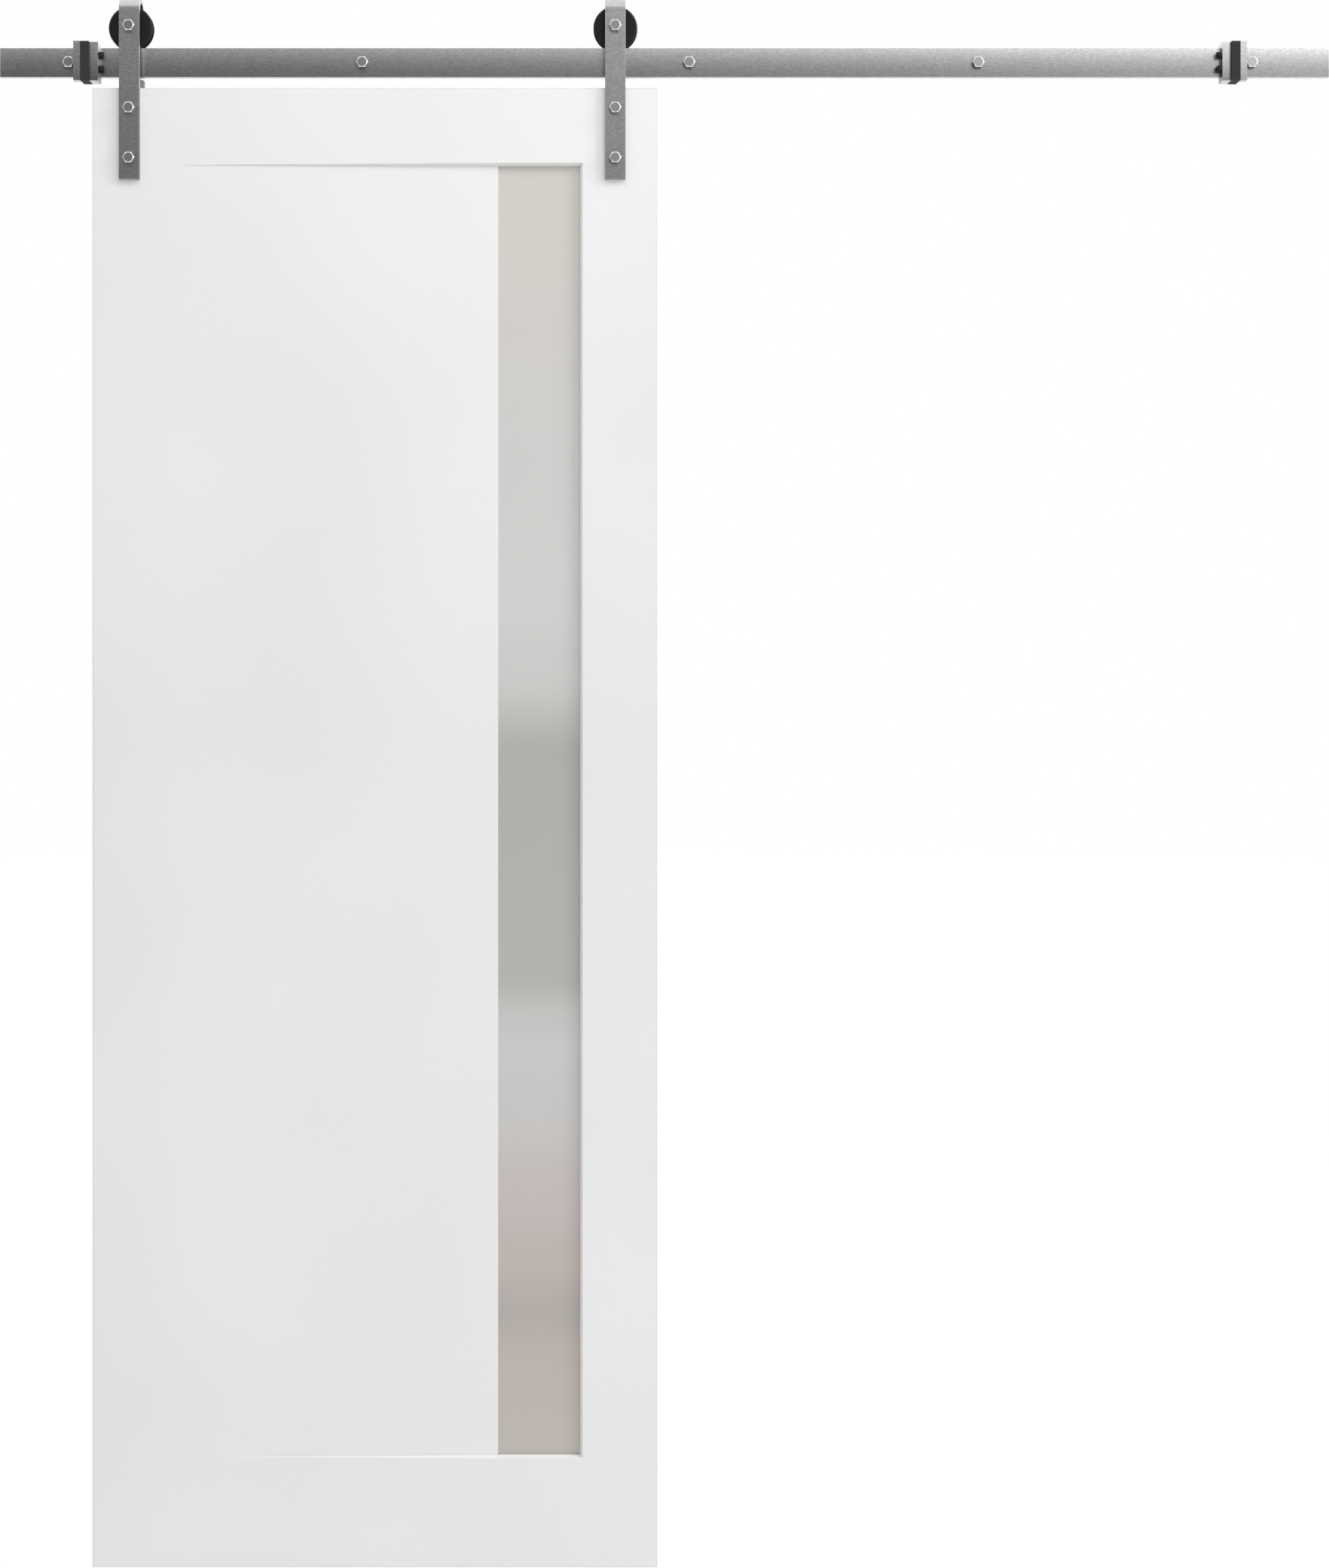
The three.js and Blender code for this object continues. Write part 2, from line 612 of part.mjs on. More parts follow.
/** One hanger with its bolts, nuts, bushes, inner race and anti-jump disc. */
function hanger(side, x, discOffset) {
  const boltEnd = doorBack - sleeveEndWall - boltEndGap - frontLegFront;
  const axleEnd = backLegBack + hexNutHeight + axleTail - frontLegFront;
  const raceFront = railMiddle - bearingWidth / 2;
  const raceBack = railMiddle + bearingWidth / 2;
  const disc = part(`anti_jump_disc_${side}`, jumpDisc().rotateX(Math.PI / 2), boltSteel);
  const screw = part(`anti_jump_screw_${side}`, jumpScrew().rotateX(Math.PI / 2), boltSteel);
  return group([
    part(`strap_${side}`, strap(), brushedSteel),
    ...doorBoltHeights.flatMap((z, i) => [
      placed(part(`door_bolt_${side}_${i + 1}`, hexBolt(boltEnd), boltSteel), 0, frontLegFront, z),
      placed(part(`sleeve_nut_${side}_${i + 1}`, sleeveNut(), boltSteel), 0, doorBack, z),
    ]),
    placed(part(`axle_bolt_${side}`, hexBolt(axleEnd), boltSteel), 0, frontLegFront, axleHeight),
    placed(part(`axle_nut_${side}`, hexNut(), boltSteel), 0, backLegBack, axleHeight),
    placed(part(`axle_bush_front_${side}`, ring(bushDiameter, boltHoleDiameter, frontLegBack,
      raceFront, smallFacets), boltSteel), 0, 0, axleHeight),
    placed(part(`axle_bush_back_${side}`, ring(bushDiameter, boltHoleDiameter, raceBack,
      backLegFront, smallFacets), boltSteel), 0, 0, axleHeight),
    placed(part(`bearing_inner_race_${side}`, race(boltHoleDiameter, innerRaceDiameter, 1),
      bearingSteel), 0, railMiddle, axleHeight),
    placed(disc, discOffset, jumpDiscDepth, doorTop),
    placed(screw, discOffset, jumpDiscDepth, doorTop),
  ], x);
}

/** A bearing race; the ball groove is on its outside (+1) or in its bore (-1). */
function race(bore, outer, grooveSide) {
  const pitch = (innerRaceDiameter + outerRaceBore) / 4;
  const grooveRadius = ballDiameter / 2 + fitClearance;
  const half = bearingWidth / 2;
  const face = grooveSide > 0 ? outer / 2 : bore / 2;
  const reach = Math.sqrt(grooveRadius ** 2 - (pitch - face) ** 2);
  const steps = 3;
  const groove = [];
  for (let i = 0; i <= steps; i++) {
    const y = reach * (2 * i / steps - 1);
    const depth = Math.sqrt(Math.max(grooveRadius ** 2 - y ** 2, (pitch - face) ** 2));
    groove.push([pitch - grooveSide * depth, y]);
  }
  const profile = grooveSide > 0
    ? [[bore / 2, -half], [outer / 2, -half], ...groove, [outer / 2, half], [bore / 2, half]]
    : [[bore / 2, -half], [outer / 2, -half], [outer / 2, half], [bore / 2, half], ...groove.reverse()];
  return turned([...profile, profile[0]], mediumFacets);
}

/** The balls joined by the cage that spaces them. */
function ballRing() {
  const pitch = (innerRaceDiameter + outerRaceBore) / 4;
  const cage = ring(outerRaceBore - 2 * fitClearance, innerRaceDiameter + 2 * fitClearance,
    -cageWidth / 2, cageWidth / 2, mediumFacets);
  const balls = Array.from({ length: ballCount }, (_, i) => {
    const turn = i * 2 * Math.PI / ballCount;
    return new THREE.SphereGeometry(ballDiameter / 2, 8, 6)
      .translate(pitch * Math.sin(turn), 0, pitch * Math.cos(turn));
  });
  return joined(cage, balls);
}

/** The grooved wheel, bored from the front for its bearing. */
function wheelBody() {
  const bore = bearingDiameter / 2 + fitClearance;
  const seat = bearingWidth / 2 + fitClearance;
  const shoulder = bearingDiameter / 2 - bearingShoulder;
  const mouth = grooveHalf + grooveFlare;
  return turned([
    [bore, -wheelHalf], [rimRadius - flangeChamfer, -wheelHalf],
    [rimRadius, flangeChamfer - wheelHalf], [rimRadius, -mouth], [treadRadius, -grooveHalf],
    [treadRadius, grooveHalf], [rimRadius, mouth], [rimRadius, wheelHalf - flangeChamfer],
    [rimRadius - flangeChamfer, wheelHalf], [shoulder, wheelHalf], [shoulder, seat], [bore, seat],
    [bore, -wheelHalf],
  ], fineFacets);
}

/** One wheel with the parts of its bearing that turn. */
function wheel(side, x) {
  return group([
    part(`wheel_${side}`, wheelBody(), blackNylon),
    part(`bearing_outer_race_${side}`, race(outerRaceBore, bearingDiameter, -1), bearingSteel),
    part(`bearing_ball_ring_${side}`, ballRing(), bearingSteel),
  ], x, railMiddle, axleHeight);
}

// ---------------------------------------------------------------- the set

const track = group([
  rail(),
  ...wallFixings(),
  endStop('left', firstFixing, 1),
  endStop('right', lastFixing, -1),
]);

const door = group([
  ...doorLeaf(),
  hanger('left', leftHanger, leftJumpDiscOffset),
  hanger('right', rightHanger, rightJumpDiscOffset),
]);

const barnDoorSet = group([track, door, wheel('left', leftHanger), wheel('right', rightHanger)]);

export default barnDoorSet;
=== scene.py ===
"""Looks for a sliding barn door set.

A white lacquered door with a narrow frosted glass hangs by two hook-strap hangers from a flat
brushed stainless rail, between two clamped end stops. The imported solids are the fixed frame: this
script dresses them, and puts finer turned, hexagonal and threaded pieces where they show.
Every length is in metres, in the frame of the set: +X along the rail, +Y into the wall, +Z up.
"""

from __future__ import annotations

import logging
import math
from collections.abc import Callable, Iterable, Sequence
from dataclasses import dataclass, field
from enum import Enum

import bmesh
import bpy
from mathutils import Matrix, Vector

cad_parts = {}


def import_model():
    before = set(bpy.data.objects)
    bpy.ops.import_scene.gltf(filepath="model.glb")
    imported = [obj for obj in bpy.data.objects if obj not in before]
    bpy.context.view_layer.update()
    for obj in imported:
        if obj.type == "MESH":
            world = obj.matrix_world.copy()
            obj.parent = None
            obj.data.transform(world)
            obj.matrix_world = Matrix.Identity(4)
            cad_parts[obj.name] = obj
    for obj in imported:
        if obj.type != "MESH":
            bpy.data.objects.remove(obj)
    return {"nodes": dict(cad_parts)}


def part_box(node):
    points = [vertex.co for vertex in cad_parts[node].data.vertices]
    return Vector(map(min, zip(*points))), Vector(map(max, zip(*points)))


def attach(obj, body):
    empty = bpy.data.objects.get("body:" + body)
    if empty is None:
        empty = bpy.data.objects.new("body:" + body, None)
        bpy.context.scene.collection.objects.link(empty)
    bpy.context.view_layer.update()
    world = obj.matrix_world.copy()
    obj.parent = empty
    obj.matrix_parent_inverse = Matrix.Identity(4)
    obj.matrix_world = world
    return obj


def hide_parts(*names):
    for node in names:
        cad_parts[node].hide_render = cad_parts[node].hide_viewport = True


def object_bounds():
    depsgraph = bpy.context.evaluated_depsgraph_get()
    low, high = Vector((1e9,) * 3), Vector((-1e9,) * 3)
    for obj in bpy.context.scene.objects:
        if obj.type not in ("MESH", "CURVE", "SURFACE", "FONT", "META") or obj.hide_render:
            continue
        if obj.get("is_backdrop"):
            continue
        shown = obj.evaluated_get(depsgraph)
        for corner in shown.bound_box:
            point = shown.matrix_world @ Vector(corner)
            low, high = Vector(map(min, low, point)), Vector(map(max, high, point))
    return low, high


LOG = logging.getLogger("barn_door_set")
MM = 0.001
FRAME_WIDTH = 1764
FRAME_HEIGHT = 2082
WELD_GAP = 0.005 * MM
TOUCH = 0.02 * MM
FLAT_DEGREES = 0.3  # below this two facets are one flat face
CORNER_DEGREES = 35  # above this an edge is a corner to ease
NOISE_SPREAD = (0.3, 0.7)  # nearly all of the noise lies between these
TINT_SPREAD = (0.34, 0.66)

Loop = Callable[[float], tuple[float, float]]
Box = tuple[Vector, Vector]


class Side(Enum):
    """The two ends of the rail, which are also the two sides of the door."""

    LEFT = "left"
    RIGHT = "right"


class Slot(Enum):
    """Material slots, one passed with each new piece."""

    BOLT_STEEL = "bolt_steel"
    BLACK_SCREW = "black_screw"
    BLACK_NYLON = "black_nylon"


# ------------------------------------------------------------------ colours and nodes


def linear(srgb_hex: str) -> tuple[float, float, float, float]:
    """Turn an sRGB hex colour into linear RGBA.

    Args:
        srgb_hex: Six hex digits, such as "A4A5A6".

    Returns:
        Linear red, green and blue, with an alpha of 1.
    """
    channels = [int(srgb_hex[i : i + 2], 16) / 255 for i in (0, 2, 4)]
    return (*(c / 12.92 if c <= 0.04045 else ((c + 0.055) / 1.055) ** 2.4 for c in channels), 1.0)


def add_node(
    tree: bpy.types.NodeTree,
    kind: str,
    values: dict[str | int, object] | None = None,
    links: dict[str | int, bpy.types.NodeSocket] | None = None,
    **properties: object,
) -> bpy.types.Node:
    """Add a node with its settings and its incoming links.

    Args:
        tree: The tree that takes the node.
        kind: The node's type after its first part, "ShaderNode", such as "Math".
        values: Input name or number to the plain value it is set to.
        links: Input name or number to the output that feeds it.
        **properties: The node's own settings, such as operation="MULTIPLY".

    Returns:
        The new node.
    """
    node = tree.nodes.new("ShaderNode" + kind)
    for name, value in properties.items():
        setattr(node, name, value)
    for name, value in (values or {}).items():
        node.inputs[name].default_value = value
    for name, source in (links or {}).items():
        tree.links.new(source, node.inputs[name])
    return node


# ------------------------------------------------------------------ finishes


@dataclass(frozen=True)
class Finish:
    """A material: what it is, how its surface was made, and its shader's plain numbers."""

    name: str
    colour: str
    roughness: float
    metallic: float = 0.0
    specular: float = 0.5

    def build(self) -> bpy.types.Material:
        """Make the material.

        Returns:
            The finished material.
        """
        material = bpy.data.materials.new(self.name)
        material.use_nodes = True
        tree = material.node_tree
        tree.nodes.clear()
        shader = add_node(
            tree,
            "BsdfPrincipled",
            {
                "Base Color": linear(self.colour),
                "Roughness": self.roughness,
                "Metallic": self.metallic,
                "Specular IOR Level": self.specular,
            },
        )
        add_node(tree, "OutputMaterial", links={"Surface": shader.outputs["BSDF"]})
        self.detail(tree, shader)
        return material

    def detail(self, tree: bpy.types.NodeTree, shader: bpy.types.Node) -> None:
        """Add what the eye reads as this finish; the plain finish has nothing more.

        Args:
            tree: The material's tree.
            shader: The material's shader.
        """

    def stretched(
        self, tree: bpy.types.NodeTree, pitch: Sequence[float], detail: float = 2.0
    ) -> bpy.types.NodeSocket:
        """Noise whose spots have a real size along each axis.

        Args:
            tree: The material's tree.
            pitch: Length of a spot along X, Y and Z, in metres.
            detail: Octaves of finer noise.

        Returns:
            The noise's value.
        """
        place = add_node(tree, "TexCoord").outputs["Object"]
        scaled = add_node(tree, "Mapping", {"Scale": tuple(1 / p for p in pitch)}, {"Vector": place})
        noise = add_node(
            tree, "TexNoise", {"Scale": 1.0, "Detail": detail}, {"Vector": scaled.outputs["Vector"]}
        )
        return noise.outputs["Fac"]

    def varied(
        self,
        tree: bpy.types.NodeTree,
        shader: bpy.types.Node,
        source: bpy.types.NodeSocket,
        socket: str,
        low: float,
        high: float,
    ) -> None:
        """Feed a shader input from noise, spread over a range.

        Args:
            tree: The material's tree.
            shader: The material's shader.
            source: The noise.
            socket: Name of the shader's input.
            low: Its value where the noise is low.
            high: Its value where the noise is high.
        """
        least, most = NOISE_SPREAD
        spread = add_node(
            tree, "MapRange", {"From Min": least, "From Max": most, "To Min": low, "To Max": high},
            {"Value": source},
        )
        tree.links.new(spread.outputs["Result"], shader.inputs[socket])

    def tinted(
        self,
        tree: bpy.types.NodeTree,
        shader: bpy.types.Node,
        source: bpy.types.NodeSocket,
        dark: str,
        light: str,
    ) -> None:
        """Colour the shader from dark to light as noise goes from low to high.

        Args:
            tree: The material's tree.
            shader: The material's shader.
            source: The noise.
            dark: Colour where the noise is low.
            light: Colour where the noise is high.
        """
        ramp = add_node(tree, "ValToRGB", links={"Fac": source})
        for stop, position, colour in zip(ramp.color_ramp.elements, TINT_SPREAD, (dark, light)):
            stop.position = position
            stop.color = linear(colour)
        tree.links.new(ramp.outputs["Color"], shader.inputs["Base Color"])

    def bumped(
        self,
        tree: bpy.types.NodeTree,
        shader: bpy.types.Node,
        heights: Iterable[tuple[bpy.types.NodeSocket, float]],
    ) -> None:
        """Give the surface relief.

        Args:
            tree: The material's tree.
            shader: The shader whose normal is bent.
            heights: Each relief's height socket and its depth in metres.
        """
        normal = None
        for height, depth in heights:
            bump = add_node(
                tree, "Bump", {"Strength": 1.0, "Distance": depth},
                {"Height": height, **({"Normal": normal} if normal else {})},
            )
            normal = bump.outputs["Normal"]
        tree.links.new(normal, shader.inputs["Normal"])


@dataclass(frozen=True, kw_only=True)
class BrushedStainless(Finish):
    """Stainless 304 bar, brushed lengthways with a 180 grit belt.

    The eye gets short horizontal hairlines among a fine grain and a soft reflection that the grain
    smears. Painted into the colour are a painted highlight along the top edge that fades to painted
    shade along the foot, and a painted reflection that makes the faces that look down pale.
    """

    dark: str = "A2A2A2"
    light: str = "C8C8C8"
    hairline: float = 0.75 * MM  # a 180 grit line is about 0.1 mm: drawn coarser so that it shows
    hairline_length: float = 4.5 * MM
    grain: float = 0.9 * MM  # also coarser than the grit, so that it shows
    grain_share: float = 0.45  # of the pattern; the hairlines are the rest
    scratch: float = 0.003 * MM
    foot_height: float = -20 * MM  # where the painted shade of the foot starts, and the painted highlight of the head
    head_height: float = 20 * MM
    head: float  # tone along the top edge: painted light, a painted highlight above 1
    foot: float  # tone along the foot: painted light, painted shade below 1
    curve: float = 1.0  # above 1, the painted light changes mostly near the head
    underside_painted_reflection: float = 1.0  # tone of the faces that look down: above 1, a painted reflection that makes them pale
    down: float = -0.9  # a face looks down where its normal along Z is below this

    def detail(self, tree: bpy.types.NodeTree, shader: bpy.types.Node) -> None:
        """Add hairlines to the colour, the gloss and the relief, and painted light: a painted highlight at
        the head, painted shade at the foot and a painted reflection underneath.

        Args:
            tree: The material's tree.
            shader: The material's shader.
        """
        line = self.stretched(tree, (self.hairline_length, self.hairline, self.hairline), 2.0)
        grain = self.stretched(tree, (self.grain, self.grain, self.grain), 1.0)
        brushed = add_node(
            tree, "Mix", {"Factor": self.grain_share}, {"A": line, "B": grain}, data_type="FLOAT"
        ).outputs["Result"]
        self.tinted(tree, shader, brushed, self.dark, self.light)
        self.varied(tree, shader, brushed, "Roughness", self.roughness - 0.03, self.roughness + 0.04)
        self.bumped(tree, shader, [(brushed, self.scratch)])
        # painted light: the colour is scaled by height, a painted highlight towards the head and painted
        # shade towards the foot
        place = add_node(tree, "TexCoord").outputs["Object"]
        split = add_node(tree, "SeparateXYZ", links={"Vector": place})
        height = add_node(
            tree, "MapRange", {"From Min": self.foot_height, "From Max": self.head_height},
            {"Value": split.outputs["Z"]},
        )
        curved = add_node(tree, "Math", {1: self.curve}, {0: height.outputs["Result"]}, operation="POWER")
        tone = add_node(
            tree, "MapRange", {"To Min": self.foot, "To Max": self.head}, {"Value": curved.outputs[0]}
        )
        # painted reflection: the faces that look down get their own, brighter scale of the colour
        facing = add_node(tree, "TexCoord").outputs["Normal"]
        level = add_node(tree, "SeparateXYZ", links={"Vector": facing})
        down = add_node(tree, "Math", {1: self.down}, {0: level.outputs["Z"]}, operation="LESS_THAN")
        both = add_node(
            tree, "Mix", {"B": self.underside_painted_reflection}, {"Factor": down.outputs[0], "A": tone.outputs["Result"]},
            data_type="FLOAT",
        )
        colour = shader.inputs["Base Color"].links[0].from_socket
        painted_light_colour = add_node(
            tree, "VectorMath", links={0: colour, "Scale": both.outputs["Result"]}, operation="SCALE"
        )
        tree.links.new(painted_light_colour.outputs["Vector"], shader.inputs["Base Color"])


@dataclass(frozen=True, kw_only=True)
class TurnedSteel(Finish):
    """Stainless fastener or bearing steel, cold headed or turned, then tumbled.

    The eye gets a nearly even grey with faint marks. On a bolt it gets a dull flat land inside a
    ring drawn brighter, a painted highlight on the turned chamfer, and sides darkened with painted shade.
    """

    dark: str
    light: str
    mark: float = 1.2 * MM  # tumbling marks are finer: drawn coarser so that they show
    relief: float = 0.001 * MM
    land: str = ""  # colour of a bolt's flat top, darker than the painted highlight of the chamfer ring; none keeps the same colour all over
    land_facing: float = -0.97  # the top is where the normal along Y is below this
    flats_painted_shade: str = ""  # colour of the six sides: painted shade
    flats_facing: float = -0.3  # the sides are where it is above this

    def detail(self, tree: bpy.types.NodeTree, shader: bpy.types.Node) -> None:
        """Add faint tumbling marks, and the colours of a bolt's land and sides, which leave the chamfer
        ring as a painted highlight and darken the sides with painted shade.

        Args:
            tree: The material's tree.
            shader: The material's shader.
        """
        mark = self.stretched(tree, (self.mark, self.mark, self.mark), 2.0)
        self.tinted(tree, shader, mark, self.dark, self.light)
        self.varied(tree, shader, mark, "Roughness", self.roughness - 0.04, self.roughness + 0.06)
        self.bumped(tree, shader, [(mark, self.relief)])
        if not self.land:
            return
        # painted light: the land and the sides get darker colours, so the bright chamfer ring is a painted
        # highlight and the sides are painted shade
        facing = add_node(tree, "TexCoord").outputs["Normal"]
        split = add_node(tree, "SeparateXYZ", links={"Vector": facing})
        parts = (
            (self.land_facing, "LESS_THAN", self.land), (self.flats_facing, "GREATER_THAN", self.flats_painted_shade)
        )
        for bound, side, colour in parts:
            inside = add_node(tree, "Math", {1: bound}, {0: split.outputs["Y"]}, operation=side)
            mixed = add_node(
                tree, "Mix", {"B": linear(colour)},
                {"Factor": inside.outputs[0], "A": shader.inputs["Base Color"].links[0].from_socket},
                data_type="RGBA",
            )
            tree.links.new(mixed.outputs["Result"], shader.inputs["Base Color"])


@dataclass(frozen=True, kw_only=True)
class BlackSurface(Finish):
    """A black oxide, nylon or rubber surface: nearly black, with a fine grain.

    The eye gets a matt surface whose grain breaks up what little it reflects.
    """

    dark: str
    light: str
    grain: float = 0.8 * MM
    relief: float = 0.02 * MM

    def detail(self, tree: bpy.types.NodeTree, shader: bpy.types.Node) -> None:
        """Add the grain to the colour, the gloss and the relief.

        Args:
            tree: The material's tree.
            shader: The material's shader.
        """
        grain = self.stretched(tree, (self.grain, self.grain, self.grain), 3.0)
        self.tinted(tree, shader, grain, self.dark, self.light)
        self.varied(tree, shader, grain, "Roughness", self.roughness - 0.06, self.roughness + 0.08)
        self.bumped(tree, shader, [(grain, self.relief)])


@dataclass(frozen=True, kw_only=True)
class SprayedLacquer(Finish):
    """White satin lacquer sprayed over a primed board.

    The eye gets an even white with a trace of orange peel, no grain, and a fine grey line drawn
    along the outline.
    """

    dark: str = "E8E8E8"
    light: str = "ECECEC"
    peel: float = 2.2 * MM
    peel_depth: float = 0.006 * MM
    drift: float = 400 * MM  # length of a slow change in tone
    joint: str = "CDCDCD"
    outline_grey_width: float = 0.9 * MM  # width of the grey line along the outline
    low: tuple[float, float, float]  # the leaf's lowest corner, and its highest
    high: tuple[float, float, float]

    def detail(self, tree: bpy.types.NodeTree, shader: bpy.types.Node) -> None:
        """Add the orange peel, a slow drift in tone and the grey line along the outline.

        Args:
            tree: The material's tree.
            shader: The material's shader.
        """
        peel = self.stretched(tree, (self.peel, self.peel, self.peel), 1.5)
        drift = self.stretched(tree, (self.drift, self.drift, self.drift), 1.0)
        self.tinted(tree, shader, drift, self.dark, self.light)
        tone = shader.inputs["Base Color"].links[0].from_socket
        mixed = add_node(
            tree, "Mix", {"B": linear(self.joint)}, {"Factor": self.rim(tree), "A": tone}, data_type="RGBA"
        )
        tree.links.new(mixed.outputs["Result"], shader.inputs["Base Color"])
        self.varied(tree, shader, peel, "Roughness", self.roughness - 0.03, self.roughness + 0.04)
        self.bumped(tree, shader, [(peel, self.peel_depth)])

    def rim(self, tree: bpy.types.NodeTree) -> bpy.types.NodeSocket:
        """Mask of the thin strip along the outline of the leaf.

        Args:
            tree: The material's tree.

        Returns:
            1 within the joint's width of the outline, seen from the front or from behind.
        """
        place = add_node(tree, "TexCoord").outputs["Object"]
        split = add_node(tree, "SeparateXYZ", links={"Vector": place})
        strips = []
        for axis, name in ((0, "X"), (2, "Z")):
            middle = (self.low[axis] + self.high[axis]) / 2
            half = (self.high[axis] - self.low[axis]) / 2
            offset = add_node(tree, "Math", {1: middle}, {0: split.outputs[name]}, operation="SUBTRACT")
            away = add_node(tree, "Math", links={0: offset.outputs[0]}, operation="ABSOLUTE")
            strips.append(
                add_node(
                    tree, "Math", {1: half - self.outline_grey_width}, {0: away.outputs[0]},
                    operation="GREATER_THAN",
                ).outputs[0]
            )
        both = add_node(tree, "Math", links={0: strips[0], 1: strips[1]}, operation="MAXIMUM")
        return both.outputs[0]


@dataclass(frozen=True, kw_only=True)
class EtchedGlass(Finish):
    """Clear float glass with an acid-etched face.

    The room on its far side is painted into its colour as soft bands of tone, one above another:
    painted light seen through the frost.
    """

    low: float  # the foot of the glass, and its head
    high: float
    painted_room_bands: tuple[tuple[float, str], ...]  # share of the height, and the painted tone of the room there
    frost: float = 0.7 * MM  # etch pits are microscopic: drawn coarser so that they show
    frost_depth: float = 0.01 * MM
    clear_share: float = 0.25  # of the light that passes on through the frost
    refraction: float = 1.5

    def detail(self, tree: bpy.types.NodeTree, shader: bpy.types.Node) -> None:
        """Add the painted bands of the room from the foot of the glass to its head, and the frost.

        Args:
            tree: The material's tree.
            shader: The material's shader.
        """
        place = add_node(tree, "TexCoord").outputs["Object"]
        split = add_node(tree, "SeparateXYZ", links={"Vector": place})
        share = add_node(
            tree, "MapRange", {"From Min": self.low, "From Max": self.high}, {"Value": split.outputs["Z"]}
        )
        # painted light: the room's tones seen through the frost, by height
        ramp = add_node(tree, "ValToRGB", links={"Fac": share.outputs["Result"]})
        stops = ramp.color_ramp.elements
        ramp.color_ramp.interpolation = "EASE"
        while len(stops) < len(self.painted_room_bands):
            stops.new(0.5)
        for stop, (position, colour) in zip(stops, self.painted_room_bands):
            stop.position = position
            stop.color = linear(colour)
        tree.links.new(ramp.outputs["Color"], shader.inputs["Base Color"])
        shader.inputs["Transmission Weight"].default_value = self.clear_share
        shader.inputs["IOR"].default_value = self.refraction
        frost = self.stretched(tree, (self.frost, self.frost, self.frost), 2.0)
        self.varied(tree, shader, frost, "Roughness", self.roughness - 0.04, self.roughness + 0.04)
        self.bumped(tree, shader, [(frost, self.frost_depth)])


class Finishes:
    """Every material of the set, built once."""

    def __init__(self, glass: Box, leaf: Box) -> None:
        """Build the materials.

        Args:
            glass: Lowest and highest corner of the glass.
            leaf: Lowest and highest corner of the door leaf.
        """
        # painted light from the room beyond: its tones seen through the frost, by share of the glass's
        # height
        painted_room_bands = (
            (0.006, "CEC7C1"),
            (0.071, "CCC3BD"),
            (0.112, "C2BBB6"),
            (0.153, "CEC4BF"),
            (0.203, "D3CBC8"),
            (0.267, "D8D6D4"),
            (0.317, "DAD9D7"),
            (0.337, "D5D4D2"),
            (0.373, "C2C1BD"),
            (0.542, "BDBEB9"),
            (0.607, "DBDAD8"),
            (0.665, "DFDFDD"),
            (0.783, "DDDCDA"),
            (0.953, "DED9D3"),
        )
        # head and foot are painted light: each face lighter at the top and darker at the foot; the faces
        # that look down get a painted reflection
        self.rail = BrushedStainless(
            "Stainless 304 flat bar, brushed", "B5B5B5", 0.36, 1.0, head=1.5, foot=0.64, curve=1.9,
            underside_painted_reflection=1.7,
        ).build()
        self.strap = BrushedStainless(
            "Stainless 304 strap, brushed",
            "B8B8B8",
            0.36,
            1.0,
            dark="989898",
            light="C4C4C4",
            foot_height=-163 * MM,
            head_height=60 * MM,
            head=1.16,
            foot=0.86,
        ).build()
        # the stop's painted light: a lighter head, a darker foot and a paler painted reflection underneath
        stop = {"foot_height": -27 * MM, "head_height": 27 * MM, "underside_painted_reflection": 1.4}
        self.stop_plate = BrushedStainless(
            "Stainless 304 stop plate, brushed", "B5B5B5", 0.36, 1.0, head=1.28, foot=0.68, **stop
        ).build()
        self.stop_block = BrushedStainless(
            "Stainless 304 stop block, brushed, eased", "B5B5B5", 0.36, 1.0, head=1.4, foot=0.46, **stop
        ).build()
        # the base colour is the chamfer ring's painted highlight; the land is the steel's own grey, the
        # sides painted shade
        self.fastener = TurnedSteel(
            "Stainless A2 fastener, cold headed, turned chamfer", "E0E0E0", 0.34, 1.0,
            dark="D8D8D8", light="E6E6E6", land="B0B0B0", flats_painted_shade="7C7C7C",
        ).build()
        self.bearing = TurnedSteel(
            "Bearing steel, ground", "C4C4C4", 0.18, 1.0, dark="B8B8B8", light="CECECE"
        ).build()
        self.zinc = TurnedSteel(
            "Zinc plated steel, turned, dull", "6E6E6E", 0.5, 1.0, dark="686868", light="747474"
        ).build()
        self.black_screw = BlackSurface(
            "Black oxide steel", "18181A", 0.45, 0.5, dark="121213", light="242426"
        ).build()
        self.nylon = BlackSurface(
            "Black nylon, turned", "101011", 0.6, specular=0.25, dark="0B0B0C", light="161617",
            relief=0.01 * MM
        ).build()
        self.rubber = BlackSurface(
            "Black EPDM rubber, moulded", "29292B", 0.75, specular=0.35, dark="232325", light="323234"
        ).build()
        self.lacquer = SprayedLacquer(
            "White satin lacquer, sprayed", "EAEAEA", 0.42, low=tuple(leaf[0]), high=tuple(leaf[1])
        ).build()
        self.glass = EtchedGlass(
            "Float glass, acid etched", "CFCFCC", 0.5, low=glass[0].z, high=glass[1].z, painted_room_bands=painted_room_bands
        ).build()


# ------------------------------------------------------------------ meshes


def hexagon_radius(angle: float, across_flats: float) -> float:
    """Distance from a hexagon's centre to its edge, with two corners at angles +-90 degrees.

    Args:
        angle: Direction from the centre, in radians.
        across_flats: Width of the hexagon across its flats.

    Returns:
        The distance in the same unit as across_flats.
    """
    sixth = math.pi / 3
    within = (angle + sixth / 2) % sixth - sixth / 2
    return across_flats / 2 / math.cos(within)


def plain(radius: float, along: float) -> Loop:
    """A round loop: the same radius at every angle."""
    return lambda angle: (radius, along)


